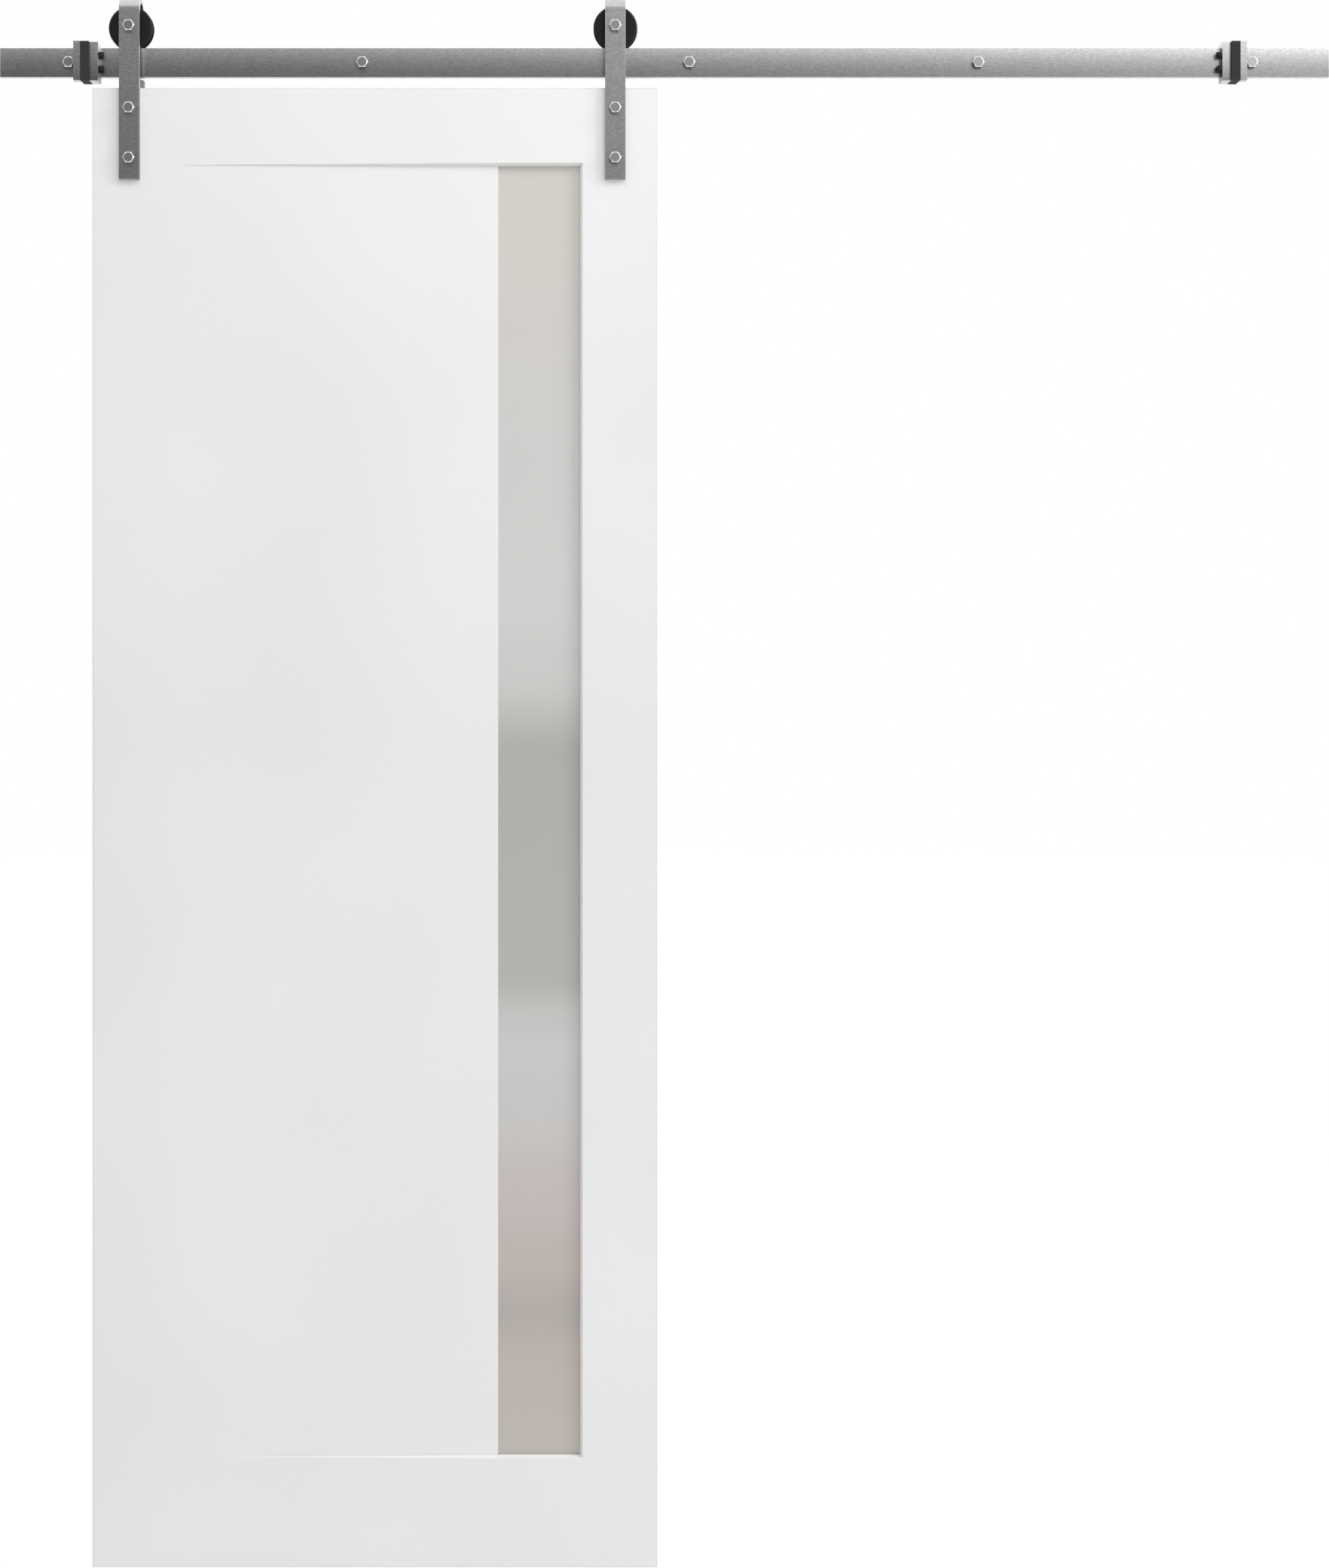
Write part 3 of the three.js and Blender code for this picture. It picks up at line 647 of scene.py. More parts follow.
def revolve(loops: Sequence[Loop], columns: int, ring: bool = False) -> bpy.types.Mesh:
    """Bridge loops drawn round the Y axis into one closed skin.

    Args:
        loops: Each gives (radius, distance along Y) at an angle, listed from low Y to high Y
            round the outside. A loop of radius 0 is a single point.
        columns: Facets round a full turn.
        ring: Whether the last loop joins the first, as round a bore.

    Returns:
        A mesh with outward faces.
    """
    shape = bmesh.new()
    rows: list[list[bmesh.types.BMVert]] = []
    for loop in loops:
        row = []
        for column in range(columns):
            angle = 2 * math.pi * column / columns
            radius, along = loop(angle)
            if radius == 0 and row:
                row.append(row[0])
                continue
            row.append(shape.verts.new((radius * math.sin(angle), along, radius * math.cos(angle))))
        rows.append(row)
    pairs = list(zip(rows, rows[1:] + ([rows[0]] if ring else [])))
    for low, high in pairs:
        for column in range(columns):
            after = (column + 1) % columns
            corners = [low[column], low[after], high[after], high[column]]
            unique = list(dict.fromkeys(corners))
            if len(unique) > 2:
                shape.faces.new(unique)
    bmesh.ops.recalc_face_normals(shape, faces=shape.faces)
    mesh = bpy.data.meshes.new("revolved")
    shape.to_mesh(mesh)
    shape.free()
    return mesh


def rounded(
    corner: tuple[float, float],
    before: tuple[float, float],
    after: tuple[float, float],
    radius: float,
    steps: int = 3,
) -> list[tuple[float, float]]:
    """Points of a rounded corner of a profile.

    Args:
        corner: The sharp corner.
        before: The profile's point before it.
        after: The profile's point after it.
        radius: How far from the corner the rounding starts, on each side.
        steps: Pieces that the rounding is made of.

    Returns:
        The points of the rounding, in the profile's order.
    """
    middle = Vector(corner)
    start = middle + (Vector(before) - middle).normalized() * radius
    end = middle + (Vector(after) - middle).normalized() * radius
    points = []
    for step in range(steps + 1):
        t = step / steps
        point = start * (1 - t) ** 2 + middle * 2 * t * (1 - t) + end * t**2
        points.append((point.x, point.y))
    return points


def soft_profile(corners: Sequence[tuple[float, float]], radius: float) -> list[Loop]:
    """Loops of a closed profile whose corners are all rounded.

    Args:
        corners: (radius, along) of each corner, in order round the section.
        radius: Size of the rounding.

    Returns:
        One loop for each point.
    """
    count = len(corners)
    points: list[tuple[float, float]] = []
    for i, corner in enumerate(corners):
        points += rounded(corner, corners[i - 1], corners[(i + 1) % count], radius)
    return [plain(r, y) for r, y in points]


class Piece:
    """Puts a mesh on a body of the set."""

    @staticmethod
    def add(
        name: str,
        mesh: bpy.types.Mesh,
        place: Matrix,
        body: str,
        slot: Slot,
        material: bpy.types.Material,
        replaced: Sequence[str] = (),
    ) -> bpy.types.Object:
        """Make a piece of the visual model.

        Args:
            name: The piece's name.
            mesh: Its mesh, in its own frame.
            place: Where that frame lies in the set.
            body: The body that it rides on.
            slot: Not used.
            material: Its material.
            replaced: The solids that it stands for.

        Returns:
            The piece's object.
        """
        mesh.name = name
        mesh.transform(place)
        mesh.materials.clear()
        mesh.materials.append(material)
        smooth_by_angle(mesh)
        piece = bpy.data.objects.new(name, mesh)
        bpy.context.scene.collection.objects.link(piece)
        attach(piece, body)
        if replaced:
            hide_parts(*replaced)
        LOG.info("%s rides on %s", name, body)
        return piece


def smooth_by_angle(mesh: bpy.types.Mesh, degrees: float = 28.0) -> None:
    """Shade a mesh smooth across shallow edges and keep its corners crisp."""
    mesh.shade_smooth()
    mesh.set_sharp_from_angle(angle=math.radians(degrees))


def dress(node: bpy.types.Object, material: bpy.types.Material, ease: float = 0.0) -> None:
    """Give a solid of the frame its material and, if asked, rounded edges.

    Args:
        node: The solid's object.
        material: Its material.
        ease: Width of the rounding on its sharp edges, in metres; 0 leaves them crisp.
    """
    mesh = node.data
    mesh.materials.clear()
    mesh.materials.append(material)
    smooth_by_angle(mesh)
    LOG.info("%s dressed as %s", node.name, material.name)
    if ease <= 0:
        return
    node.modifiers.new("weld", "WELD").merge_threshold = WELD_GAP
    flat = node.modifiers.new("flat", "DECIMATE")
    flat.decimate_type = "DISSOLVE"
    flat.angle_limit = math.radians(FLAT_DEGREES)
    bevel = node.modifiers.new("ease", "BEVEL")
    bevel.width = ease
    bevel.segments = 3
    bevel.limit_method = "ANGLE"
    bevel.angle_limit = math.radians(CORNER_DEGREES)
    node.modifiers.new("normals", "WEIGHTED_NORMAL").keep_sharp = False


def dress_flat_sided(
    node: bpy.types.Object,
    material: bpy.types.Material,
    ease: float,
    share: Callable[[Vector, Vector], float],
    segments: int = 3,
) -> None:
    """Give a flat-sided solid its material, and ease each of its corners by its own share.

    Args:
        node: The solid's object.
        material: Its material.
        ease: Greatest width of the easing, in metres.
        share: Gives the share of that width for a corner, from the corner's two ends.
        segments: Strips across the easing; 1 gives a chamfer.
    """
    mesh = node.data
    mesh.materials.clear()
    mesh.materials.append(material)
    mesh.shade_flat()
    node.modifiers.new("weld", "WELD").merge_threshold = WELD_GAP
    bevel = node.modifiers.new("ease", "BEVEL")
    bevel.width = ease
    bevel.segments = segments
    bevel.limit_method = "WEIGHT"
    faces_at: dict[tuple[int, int], int] = {}
    for face in mesh.polygons:
        for key in face.edge_keys:
            faces_at[key] = faces_at.get(key, 0) + 1
    weights = mesh.attributes.new("bevel_weight_edge", "FLOAT", "EDGE")
    for edge in mesh.edges:
        if faces_at.get(edge.key) == 1:  # the solids come with their skin split at every corner
            ends = [mesh.vertices[v].co for v in edge.vertices]
            weights.data[edge.index].value = share(*ends)
    LOG.info("%s dressed as %s", node.name, material.name)


# ------------------------------------------------------------------ fasteners


@dataclass(frozen=True)
class HexBolt:
    """A hexagon bolt whose head lies towards -Y; sizes that no solid states."""

    land_share: float = 0.88  # diameter of the flat on top, of the width across flats
    chamfer_degrees: float = 30.0
    columns: int = 72
    end_chamfer: float = 0.8 * MM

    def head_loops(self, top: float, seat: float, across_flats: float) -> list[Loop]:
        """Loops of the head from its top to its seat.

        Args:
            top: Where the top of the head lies along Y.
            seat: Where the head meets what it clamps.
            across_flats: Width of the hexagon.

        Returns:
            The loops, from low Y to high Y.
        """
        land = self.land_share * across_flats / 2
        slope = math.tan(math.radians(self.chamfer_degrees))

        def edge_loop(angle: float) -> tuple[float, float]:
            """Where the turned chamfer meets the six sides."""
            radius = hexagon_radius(angle, across_flats)
            return radius, top + (radius - land) * slope

        def seat_loop(angle: float) -> tuple[float, float]:
            """The hexagon under the head."""
            return hexagon_radius(angle, across_flats), seat

        return [plain(0, top), plain(land, top), edge_loop, seat_loop]

    def mesh(
        self, top: float, seat: float, end: float, across_flats: float, shank: float
    ) -> bpy.types.Mesh:
        """The whole bolt.

        Args:
            top: Where the top of the head lies along Y.
            seat: Where the head meets what it clamps.
            end: Where the shank ends.
            across_flats: Width of the hexagon.
            shank: Radius of the shank.

        Returns:
            The bolt's mesh about the Y axis.
        """
        loops = self.head_loops(top, seat, across_flats)
        loops += [
            plain(shank, seat),
            plain(shank, end - self.end_chamfer),
            plain(shank - self.end_chamfer, end),
            plain(0, end),
        ]
        return revolve(loops, self.columns)


@dataclass(frozen=True)
class LagThread:
    """The coarse wood thread of a lag screw, wound round its core."""

    pitch: float = 3.6 * MM
    crest_share: float = 0.18  # flat crest, of the pitch
    flank_share: float = 0.12  # sloping flank, of the pitch
    columns: int = 36
    rows_per_turn: int = 4

    def mesh(self, start: float, end: float, core: float, crest: float, tip: float) -> bpy.types.Mesh:
        """Wind the thread.

        Args:
            start: Where the thread starts along Y.
            end: Where the point of the screw lies.
            core: Radius at the root.
            crest: Radius at the crest.
            tip: Length of the pointed end.

        Returns:
            The threaded stretch as one closed mesh about the Y axis.
        """
        shape = bmesh.new()
        turns = math.ceil((end - start) / self.pitch) + 1
        count = turns * self.rows_per_turn
        half = self.crest_share / 2
        phases = (0.0, 0.5 - half - self.flank_share, 0.5 - half, 0.5 + half)
        lifts = (0.0, 0.0, 1.0, 1.0)
        rows = []
        for i in range(-self.rows_per_turn, count + 1):
            turn, step = divmod(i, self.rows_per_turn)
            row = []
            for j in range(self.columns):
                angle = 2 * math.pi * j / self.columns
                along = start + self.pitch * (turn + phases[step] + j / self.columns)
                along = min(max(along, start), end)
                fade = min(1.0, (along - start) / self.pitch, (end - along) / tip)
                taper = min(1.0, (end - along) / tip)
                radius = core * taper + (crest - core) * lifts[step] * max(0.0, fade)
                row.append(shape.verts.new((radius * math.sin(angle), along, radius * math.cos(angle))))
            rows.append(row)
        for i in range(len(rows) - 1):
            for j in range(self.columns):
                if j + 1 < self.columns:
                    corners = [rows[i][j], rows[i][j + 1], rows[i + 1][j + 1], rows[i + 1][j]]
                else:
                    if i + self.rows_per_turn + 1 >= len(rows):
                        continue
                    low, high = rows[i + self.rows_per_turn][0], rows[i + self.rows_per_turn + 1][0]
                    corners = [rows[i][j], low, high, rows[i + 1][j]]
                shape.faces.new(corners)
        bmesh.ops.remove_doubles(shape, verts=shape.verts, dist=0.002 * MM)
        bmesh.ops.dissolve_degenerate(shape, dist=0.001 * MM, edges=shape.edges)
        bmesh.ops.holes_fill(shape, edges=[e for e in shape.edges if e.is_boundary], sides=0)
        bmesh.ops.recalc_face_normals(shape, faces=shape.faces)
        mesh = bpy.data.meshes.new("thread")
        shape.to_mesh(mesh)
        shape.free()
        return mesh


@dataclass(frozen=True)
class SocketScrew:
    """A cap screw with a knurled head and a hexagon socket; the head points to -Y."""

    socket: float = 4 * MM
    socket_depth: float = 2.5 * MM
    knurls: int = 36
    knurl_depth: float = 0.14 * MM
    rim: float = 0.5 * MM

    def mesh(self, head_length: float, shank_length: float, head: float, shank: float) -> bpy.types.Mesh:
        """The whole screw, with its head's seat at y = 0.

        Args:
            head_length: Length of the head.
            shank_length: Length of the shank.
            head: Radius of the head.
            shank: Radius of the shank.

        Returns:
            The screw's mesh about the Y axis.
        """
        columns = self.knurls * 2
        top = -head_length

        def knurled(along: float) -> Loop:
            """A loop of the head with every second column cut back."""

            def loop(angle: float) -> tuple[float, float]:
                """One column of it."""
                column = round(angle / (2 * math.pi) * columns)
                return head - (self.knurl_depth if column % 2 else 0.0), along

            return loop

        def socket_wall(along: float) -> Loop:
            """A hexagon loop of the socket."""
            return lambda angle: (hexagon_radius(angle, self.socket), along)

        loops = [
            plain(0, top + self.socket_depth),
            socket_wall(top + self.socket_depth),
            socket_wall(top),
            plain(head - self.rim, top),
            plain(head - self.knurl_depth, top + self.rim * 0.6),
            knurled(top + self.rim),
            knurled(-self.rim),
            plain(head - self.knurl_depth, 0),
            plain(shank, 0),
            plain(shank, shank_length - self.rim),
            plain(shank - self.rim, shank_length),
            plain(0, shank_length),
        ]
        return revolve(loops, columns)


# ------------------------------------------------------------------ sub-assemblies


def middle_of(node: str) -> Vector:
    """Centre of a solid's box."""
    low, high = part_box(node)
    return (low + high) / 2


def along_y(x: float, z: float) -> Matrix:
    """Place of a piece turned about a line along Y."""
    return Matrix.Translation((x, 0, z))


@dataclass
class Assembly:
    """What every sub-assembly is made from."""

    nodes: dict[str, bpy.types.Object]
    finishes: Finishes


@dataclass
class SidedAssembly(Assembly):
    """A sub-assembly that the set has on the left and on the right."""

    side: Side


@dataclass
class Track(Assembly):
    """The rail, its stand-offs and its lag screws."""

    fixings: int = 5
    shank: float = 4.75 * MM
    core: float = 3.5 * MM
    plain_reach: float = 6 * MM
    tip: float = 12 * MM
    thread_overlap: float = 1.5 * MM  # the thread starts this far inside the plain shank
    rail_ease: float = 0.5 * MM
    stand_off_ease: float = 0.5 * MM

    def build(self) -> None:
        """Dress the rail and the stand-offs, and make the lag screws."""
        dress(self.nodes["rail"], self.finishes.rail, self.rail_ease)
        for number in range(1, self.fixings + 1):
            dress(self.nodes[f"stand_off_{number}"], self.finishes.strap, self.stand_off_ease)
            self.lag_screw(number)

    def lag_screw(self, number: int) -> None:
        """Make one lag screw: head, plain shank and thread.

        Args:
            number: Which screw, from 1 at the left.
        """
        node = f"lag_screw_{number}"
        low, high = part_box(node)
        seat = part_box("rail")[0].y
        place = along_y(middle_of(node).x, middle_of(node).z)
        across_flats = high.z - low.z
        plain_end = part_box("stand_off_1")[1].y + self.plain_reach
        head = HexBolt().mesh(low.y, seat, plain_end, across_flats, self.shank)
        Piece.add(
            f"lag_screw_head_{number}", head, place, "track", Slot.BOLT_STEEL,
            self.finishes.fastener, [node],
        )
        start = plain_end - self.thread_overlap
        thread = LagThread().mesh(start, high.y, self.core, self.shank, self.tip)
        Piece.add(
            f"lag_screw_thread_{number}", thread, place, "track", Slot.BOLT_STEEL, self.finishes.fastener
        )


@dataclass
class EndStop(SidedAssembly):
    """One end stop: plate, rubber pad, block and two cap screws."""

    steel_ease: float = 0.4 * MM
    front_chamfer: float = 2.4 * MM  # on the block, beside the rubber
    inner_chamfer: float = 1.1 * MM  # on the block, towards the door
    rubber_ease: float = 0.5 * MM
    head_length: float = 7 * MM
    shank: float = 2.5 * MM

    def build(self) -> None:
        """Dress the three slabs and make the screws."""
        side = self.side.value
        dress(self.nodes[f"stop_plate_{side}"], self.finishes.stop_plate, self.steel_ease)
        low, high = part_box(f"stop_block_{side}")
        outer = low.x if self.side is Side.LEFT else high.x

        def share(a: Vector, b: Vector) -> float:
            """Share out the front chamfer.

            Args:
                a: One end of a corner of the block.
                b: Its other end.

            Returns:
                The share of the chamfer's width that this corner gets.
            """
            beside_rubber = max(abs(a.x - outer), abs(b.x - outer)) < TOUCH
            in_front = max(abs(a.y - low.y), abs(b.y - low.y)) < TOUCH
            upright = abs(a.z - b.z) > abs(a.x - b.x)
            if in_front and upright:
                return 1.0 if beside_rubber else self.inner_chamfer / self.front_chamfer
            return self.steel_ease / self.front_chamfer

        dress_flat_sided(
            self.nodes[f"stop_block_{side}"], self.finishes.stop_block, self.front_chamfer, share, 1
        )
        dress(self.nodes[f"stop_rubber_{side}"], self.finishes.rubber, self.rubber_ease)
        for number in (1, 2):
            self.screw(number)

    def screw(self, number: int) -> None:
        """Make one cap screw, with its head towards the door.

        Args:
            number: Which of the two, 1 or 2.
        """
        node = f"stop_screw_{self.side.value}_{number}"
        low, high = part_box(node)
        inward = 1 if self.side is Side.LEFT else -1
        seat = (high.x if inward > 0 else low.x) - inward * self.head_length
        length = high.x - low.x - self.head_length
        mesh = SocketScrew().mesh(self.head_length, length, (high.z - low.z) / 2, self.shank)
        middle = middle_of(node)
        place = Matrix.Translation((seat, middle.y, middle.z)) @ Matrix.Rotation(
            inward * math.pi / 2, 4, "Z"
        )
        Piece.add(
            f"stop_cap_screw_{self.side.value}_{number}", mesh, place, "track", Slot.BLACK_SCREW,
            self.finishes.black_screw, [node],
        )


@dataclass
class DoorLeaf(Assembly):
    """The boards, the panel, the beads and the glass."""

    outer_ease: float = 0.8 * MM
    panel_ease: float = 0.5 * MM
    glass_ease: float = 0.6 * MM
    lip_reach: float = 11 * MM  # the panel's outer arrises lie further than this from its middle
    low: Vector = field(init=False)
    high: Vector = field(init=False)
    panel_edge: float = field(init=False)

    def build(self) -> None:
        """Dress every board and ease only the edges that a hand can reach."""
        boards = ("door_stile_left", "door_stile_right", "door_top_rail", "door_bottom_rail")
        boxes = [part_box(board) for board in boards]
        self.low = Vector(min(box[0][i] for box in boxes) for i in range(3))
        self.high = Vector(max(box[1][i] for box in boxes) for i in range(3))
        for board in boards:
            dress_flat_sided(self.nodes[board], self.finishes.lacquer, self.outer_ease, self.on_outline)
        self.panel_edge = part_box("door_wedge_panel")[1].x
        dress_flat_sided(
            self.nodes["door_wedge_panel"], self.finishes.lacquer, self.panel_ease, self.on_glass_side
        )
        for bead in ("glazing_bead_front", "glazing_bead_back"):
            dress(self.nodes[bead], self.finishes.lacquer)
        dress(self.nodes["door_glass"], self.finishes.glass, self.glass_ease)

    def planes_of(self, point: Vector) -> set[tuple[int, int]]:
        """Which faces of the leaf's own box a point lies on.

        Args:
            point: The point.

        Returns:
            The axis and the end, -1 or 1, of each such face.
        """
        faces = set()
        for axis in range(3):
            if abs(point[axis] - self.low[axis]) < TOUCH:
                faces.add((axis, -1))
            if abs(point[axis] - self.high[axis]) < TOUCH:
                faces.add((axis, 1))
        return faces

    def on_outline(self, a: Vector, b: Vector) -> float:
        """1 for an edge along the outline of the leaf, on two of its outer faces; else 0."""
        return float(len(self.planes_of(a) & self.planes_of(b)) == 2)

    def on_glass_side(self, a: Vector, b: Vector) -> float:
        """Pick out the panel's two long edges beside the glass.

        Args:
            a: One end of an edge.
            b: Its other end.

        Returns:
            1 for such an edge; else 0.
        """
        tall = abs(a.z - b.z) > abs(self.high.z - self.low.z) / 2
        beside = abs(a.x - self.panel_edge) < TOUCH and abs(b.x - self.panel_edge) < TOUCH
        outside = abs(a.y - (self.low.y + self.high.y) / 2) > self.lip_reach
        return float(tall and beside and outside)


@dataclass
class Hanger(SidedAssembly):
    """One hook strap with its bolts, nuts, bushes and anti-jump disc."""

    strap_ease: float = 0.7 * MM
    small_ease: float = 0.3 * MM
    shank: float = 4.75 * MM

    def build(self) -> None:
        """Dress the strap and its small parts, and make its three bolts."""
        side = self.side.value
        dress(self.nodes[f"strap_{side}"], self.finishes.strap, self.strap_ease)
        strap_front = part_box(f"strap_{side}")[0].y
        for node in (f"door_bolt_{side}_1", f"door_bolt_{side}_2", f"axle_bolt_{side}"):
            low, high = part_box(node)
            mesh = HexBolt().mesh(low.y, strap_front, high.y, high.z - low.z, self.shank)
            middle = middle_of(node)
            Piece.add(
                node.replace("bolt", "hex_bolt"), mesh, along_y(middle.x, middle.z), "door",
                Slot.BOLT_STEEL, self.finishes.fastener, [node],
            )
        small = (
            f"sleeve_nut_{side}_1", f"sleeve_nut_{side}_2", f"axle_nut_{side}",
            f"axle_bush_front_{side}", f"axle_bush_back_{side}", f"anti_jump_screw_{side}",
        )
        for node in small:
            dress(self.nodes[node], self.finishes.fastener, self.small_ease)
        dress(self.nodes[f"bearing_inner_race_{side}"], self.finishes.bearing)
        dress(self.nodes[f"anti_jump_disc_{side}"], self.finishes.zinc, self.small_ease)


@dataclass
class Wheel(SidedAssembly):
    """One grooved wheel with the bearing parts that turn."""

    columns: int = 144
    flange: float = 3.6 * MM
    tread: float = 27 * MM
    chamfer: float = 2 * MM
    flare: float = 0.6 * MM
    bore: float = 11.4 * MM
    bearing_half: float = 3.85 * MM
    shoulder: float = 9.3 * MM
    edge: float = 0.35 * MM

    def build(self) -> None:
        """Turn the wheel and dress the bearing."""
        side = self.side.value
        node = f"wheel_{side}"
        low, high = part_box(node)
        middle = middle_of(node)
        mesh = revolve(
            soft_profile(self.profile((high.z - low.z) / 2, (high.y - low.y) / 2), self.edge),
            self.columns,
            ring=True,
        )
        Piece.add(
            f"grooved_wheel_{side}", mesh, Matrix.Translation(middle), node, Slot.BLACK_NYLON,
            self.finishes.nylon, [node],
        )
        for part in (f"bearing_outer_race_{side}", f"bearing_ball_ring_{side}"):
            dress(self.nodes[part], self.finishes.bearing)

    def profile(self, rim: float, half: float) -> list[tuple[float, float]]:
        """Section of the wheel.

        Args:
            rim: Radius over the flanges.
            half: Half the width.

        Returns:
            (radius, along) of each corner, round the section.
        """
        groove = half - self.flange
        return [
            (self.bore, -half),
            (rim - self.chamfer, -half),
            (rim, self.chamfer - half),
            (rim, -groove - self.flare),
            (self.tread, -groove),
            (self.tread, groove),
            (rim, groove + self.flare),
            (rim, half - self.chamfer),
            (rim - self.chamfer, half),
            (self.shoulder, half),
            (self.shoulder, self.bearing_half),
            (self.bore, self.bearing_half),
        ]


# ------------------------------------------------------------------ studio


@dataclass
class Studio:
    """Floor, light and camera round the set."""

    low: Vector
    high: Vector
    distance: float = 3.1  # from the camera to the front of the door
    station_x: float = -0.0507
    station_z: float = -0.8621
    top_crop: float = 2.9 * MM  # of the hooks, above the frame
    floor_gap: float = 12 * MM
    floor_radius: float = 14.0
    sensor: float = 36.0
    wall_foot_shine: float = 2.2  # how much brighter the wall behind is in the metal's edges
    wall_head_shine: float = 1.7  # the same higher up the wall
    ceiling_shine: float = 1.75  # the same for the ceiling
    window_shine: float = 3.0  # and for the side that the light comes from
    brightest: float = 3.0  # of what the faces see in front of the set
    front_level: float = 0.207  # straight in front of the set
    growth_right: float = 4.4  # how fast the room in front grows brighter to the right, and up
    growth_up: float = 2.0
    room_foot: float = 0.56  # the rest of the room, from its floor to its ceiling
    room_head: float = 0.76
    floor_paint: float = 0.82
    floor_white: float = 0.86  # share of plain white where the floor is seen directly
    floor_strength: float = 1.08

    def build(self, door_front: float, rail_front: float) -> None:
        """Make the floor, the world, the lamps and the camera.

        Args:
            door_front: The door's front face along Y.
            rail_front: The rail's front face along Y.
        """
        self.floor()
        self.world()
        self.lamps()
        self.camera(door_front, rail_front)

    def camera(self, door_front: float, rail_front: float) -> None:
        """Aim straight into the wall and frame the set from edge to edge.

        Args:
            door_front: The door's front face along Y.
            rail_front: The rail's front face along Y.
        """
        y = door_front - self.distance
        across = (self.high.x - self.low.x) / (rail_front - y)
        tall = across * FRAME_HEIGHT / FRAME_WIDTH
        middle_x = ((self.low.x + self.high.x) / 2 - self.station_x) / (rail_front - y)
        top = (self.high.z - self.top_crop - self.station_z) / (rail_front - y)
        bottom = (self.low.z - self.station_z) / self.distance
        data = bpy.data.cameras.new("camera")
        data.sensor_width = self.sensor
        data.lens = self.sensor / tall
        data.shift_x = middle_x / tall
        data.shift_y = (top + bottom) / 2 / tall
        data.clip_end = 60
        camera = bpy.data.objects.new("camera", data)
        camera.location = (self.station_x, y, self.station_z)
        camera.rotation_euler = (math.pi / 2, 0, 0)
        bpy.context.scene.collection.objects.link(camera)
        bpy.context.scene.camera = camera

    def floor(self) -> None:
        """A pale floor that shows as white and keeps a faint shadow."""
        shape = bmesh.new()
        bmesh.ops.create_circle(shape, cap_ends=True, radius=self.floor_radius, segments=64)
        mesh = bpy.data.meshes.new("studio_floor")
        shape.to_mesh(mesh)
        shape.free()
        floor = bpy.data.objects.new("studio_floor", mesh)
        floor.location = (0, 0, self.low.z - self.floor_gap)
        bpy.context.scene.collection.objects.link(floor)
        material = bpy.data.materials.new("Painted studio floor, matt white")
        material.use_nodes = True
        tree = material.node_tree
        tree.nodes.clear()
        paint = add_node(tree, "BsdfDiffuse", {"Color": (*[self.floor_paint] * 3, 1.0)})
        white = add_node(tree, "Emission", {"Color": (1.0, 1.0, 1.0, 1.0), "Strength": self.floor_strength})
        path = add_node(tree, "LightPath")
        direct = path.outputs["Is Camera Ray"]
        for ray in ("Is Glossy Ray", "Is Transmission Ray"):
            direct = add_node(
                tree, "Math", links={0: direct, 1: path.outputs[ray]}, operation="MAXIMUM"
            ).outputs[0]
        share = add_node(tree, "Math", {1: self.floor_white}, {0: direct}, operation="MULTIPLY")
        mixed = add_node(
            tree, "MixShader", links={0: share.outputs[0], 1: paint.outputs[0], 2: white.outputs[0]}
        )
        add_node(tree, "OutputMaterial", links={"Surface": mixed.outputs[0]})
        mesh.materials.append(material)
        floor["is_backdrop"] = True

    def world(self) -> None:
        """A soft white room: darker straight in front of the set and brighter to its right."""
        world = bpy.data.worlds.new("studio")
        bpy.context.scene.world = world
        world.use_nodes = True
        tree = world.node_tree
        tree.nodes.clear()
        way = add_node(tree, "TexCoord").outputs["Generated"]
        split = add_node(tree, "SeparateXYZ", links={"Vector": way})

        ramps = {
            "away": ("Y", -0.90, -0.60, 0.0, 1.0),
            "room": ("Z", -1.0, 1.0, self.room_foot, self.room_head),
            "behind": ("Y", 0.35, 0.85, 0.0, 1.0),
            "wall": ("Z", -0.3, 0.3, self.wall_foot_shine, self.wall_head_shine),
            "ceiling": ("Z", 0.28, 0.6, 1.0, self.ceiling_shine),
            "window": ("X", 0.5, 0.9, 1.0, self.window_shine),
        }
        part = {}
        for name, (axis, start, end, low, high) in ramps.items():
            part[name] = add_node(
                tree, "MapRange", {"From Min": start, "From Max": end, "To Min": low, "To Max": high},
                {"Value": split.outputs[axis]}, interpolation_type="SMOOTHSTEP",
            ).outputs["Result"]
        front = None
        for axis, rate in (("X", self.growth_right), ("Z", self.growth_up)):
            grown = add_node(
                tree, "Math", {0: math.exp(rate)}, {1: split.outputs[axis]}, operation="POWER"
            ).outputs[0]
            front = add_node(
                tree, "Math", {} if front else {0: self.front_level},
                {0: front, 1: grown} if front else {1: grown}, operation="MULTIPLY",
            ).outputs[0]
        clamped = add_node(tree, "Math", {1: self.brightest}, {0: front}, operation="MINIMUM")
        level = add_node(
            tree, "Mix", links={"Factor": part["away"], "A": clamped.outputs[0], "B": part["room"]},
            data_type="FLOAT",
        ).outputs["Result"]
        shine = add_node(
            tree, "Mix", {"A": 1.0}, {"Factor": part["behind"], "B": part["wall"]}, data_type="FLOAT"
        ).outputs["Result"]
        for name in ("ceiling", "window"):
            shine = add_node(tree, "Math", links={0: shine, 1: part[name]}, operation="MULTIPLY").outputs[0]
        path = add_node(tree, "LightPath")
        mirrored = add_node(
            tree, "Mix", {"A": 1.0}, {"Factor": path.outputs["Is Glossy Ray"], "B": shine},
            data_type="FLOAT",
        )
        lit = add_node(tree, "Math", links={0: level, 1: mirrored.outputs["Result"]}, operation="MULTIPLY")
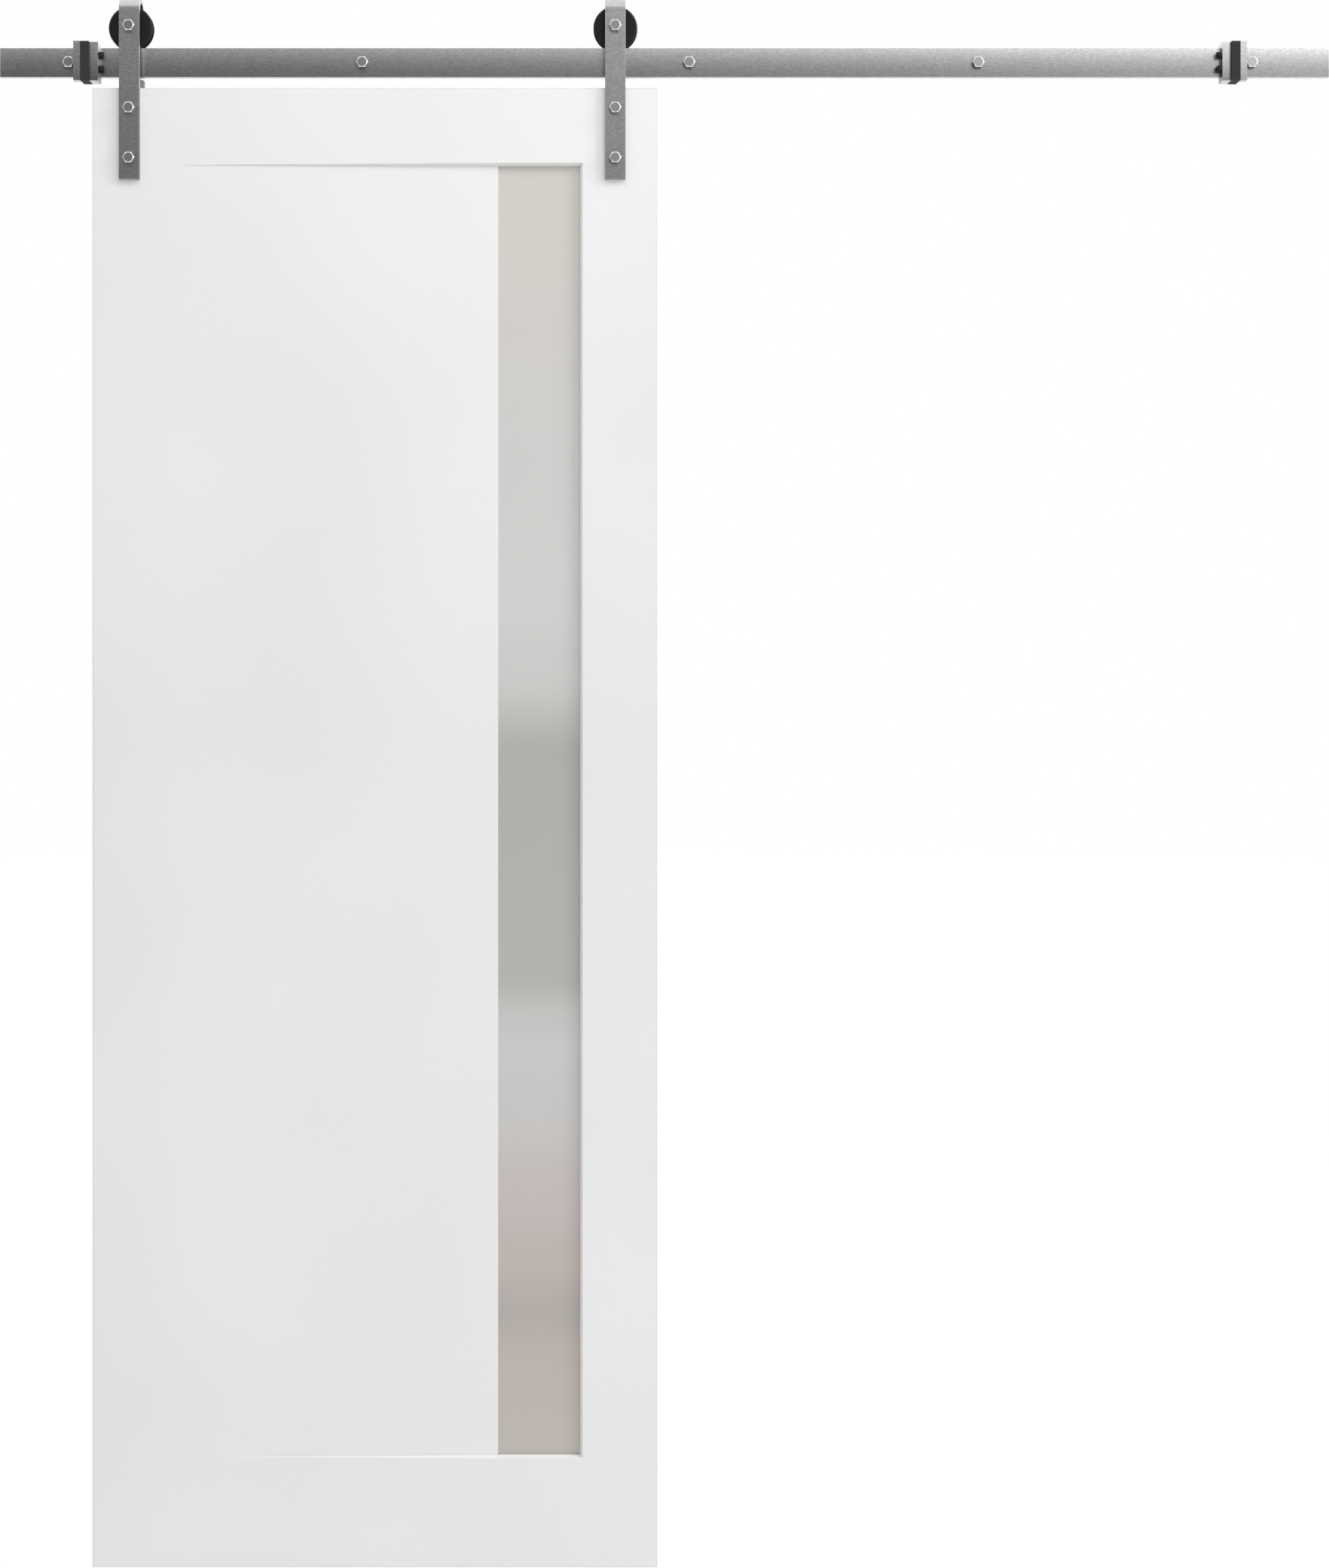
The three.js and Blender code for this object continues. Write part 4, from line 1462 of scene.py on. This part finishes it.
        direct = add_node(
            tree, "Math",
            links={0: path.outputs["Is Camera Ray"], 1: path.outputs["Is Transmission Ray"]},
            operation="MAXIMUM",
        )
        shade = add_node(
            tree, "Mix", {"B": 1.0}, {"Factor": direct.outputs[0], "A": lit.outputs[0]}, data_type="FLOAT"
        )
        background = add_node(
            tree, "Background", {"Color": (1.0, 1.0, 1.0, 1.0)}, {"Strength": shade.outputs["Result"]}
        )
        add_node(tree, "OutputWorld", links={"Surface": background.outputs[0]})

    def lamps(self) -> None:
        """A large soft box high on the right and a small one over the rail."""
        self.soft_box("side_box", (1.8, 2.4), 165.0, (4.5, -1.85, 1.9), (-0.3, 0.0, -0.7))
        self.soft_box("top_box", (1.4, 0.6), 8.0, (-0.3, -1.0, 1.3), (-0.4, 0.0, -0.2))

    def soft_box(
        self,
        name: str,
        size: tuple[float, float],
        watts: float,
        place: tuple[float, float, float],
        aim: tuple[float, float, float],
    ) -> None:
        """Hang one rectangular lamp.

        Args:
            name: The lamp's name.
            size: Its width and height.
            watts: Its power.
            place: Where it hangs.
            aim: The point that it faces.
        """
        data = bpy.data.lights.new(name, "AREA")
        data.shape = "RECTANGLE"
        data.size, data.size_y = size
        data.energy = watts
        lamp = bpy.data.objects.new(name, data)
        lamp.visible_glossy = False  # the metals reflect the room, not the lamps
        lamp.location = place
        lamp.rotation_euler = (Vector(aim) - lamp.location).to_track_quat("-Z", "Y").to_euler()
        bpy.context.scene.collection.objects.link(lamp)


# ------------------------------------------------------------------ the set


def main() -> None:
    """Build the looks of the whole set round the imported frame."""
    logging.basicConfig(level=logging.INFO, format="%(name)s: %(message)s")
    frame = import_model()
    low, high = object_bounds()
    nodes = frame["nodes"]
    bpy.context.scene.view_settings.view_transform = "Standard"

    leaf_low, leaf_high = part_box("door_stile_left")
    leaf_high.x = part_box("door_stile_right")[1].x
    finishes = Finishes(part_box("door_glass"), (leaf_low, leaf_high))
    Studio(Vector(low), Vector(high)).build(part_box("door_stile_left")[0].y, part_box("rail")[0].y)
    Track(nodes, finishes).build()
    DoorLeaf(nodes, finishes).build()
    for side in Side:
        for kind in (EndStop, Hanger, Wheel):
            kind(nodes, finishes, side).build()


if __name__ == "__main__":
    main()
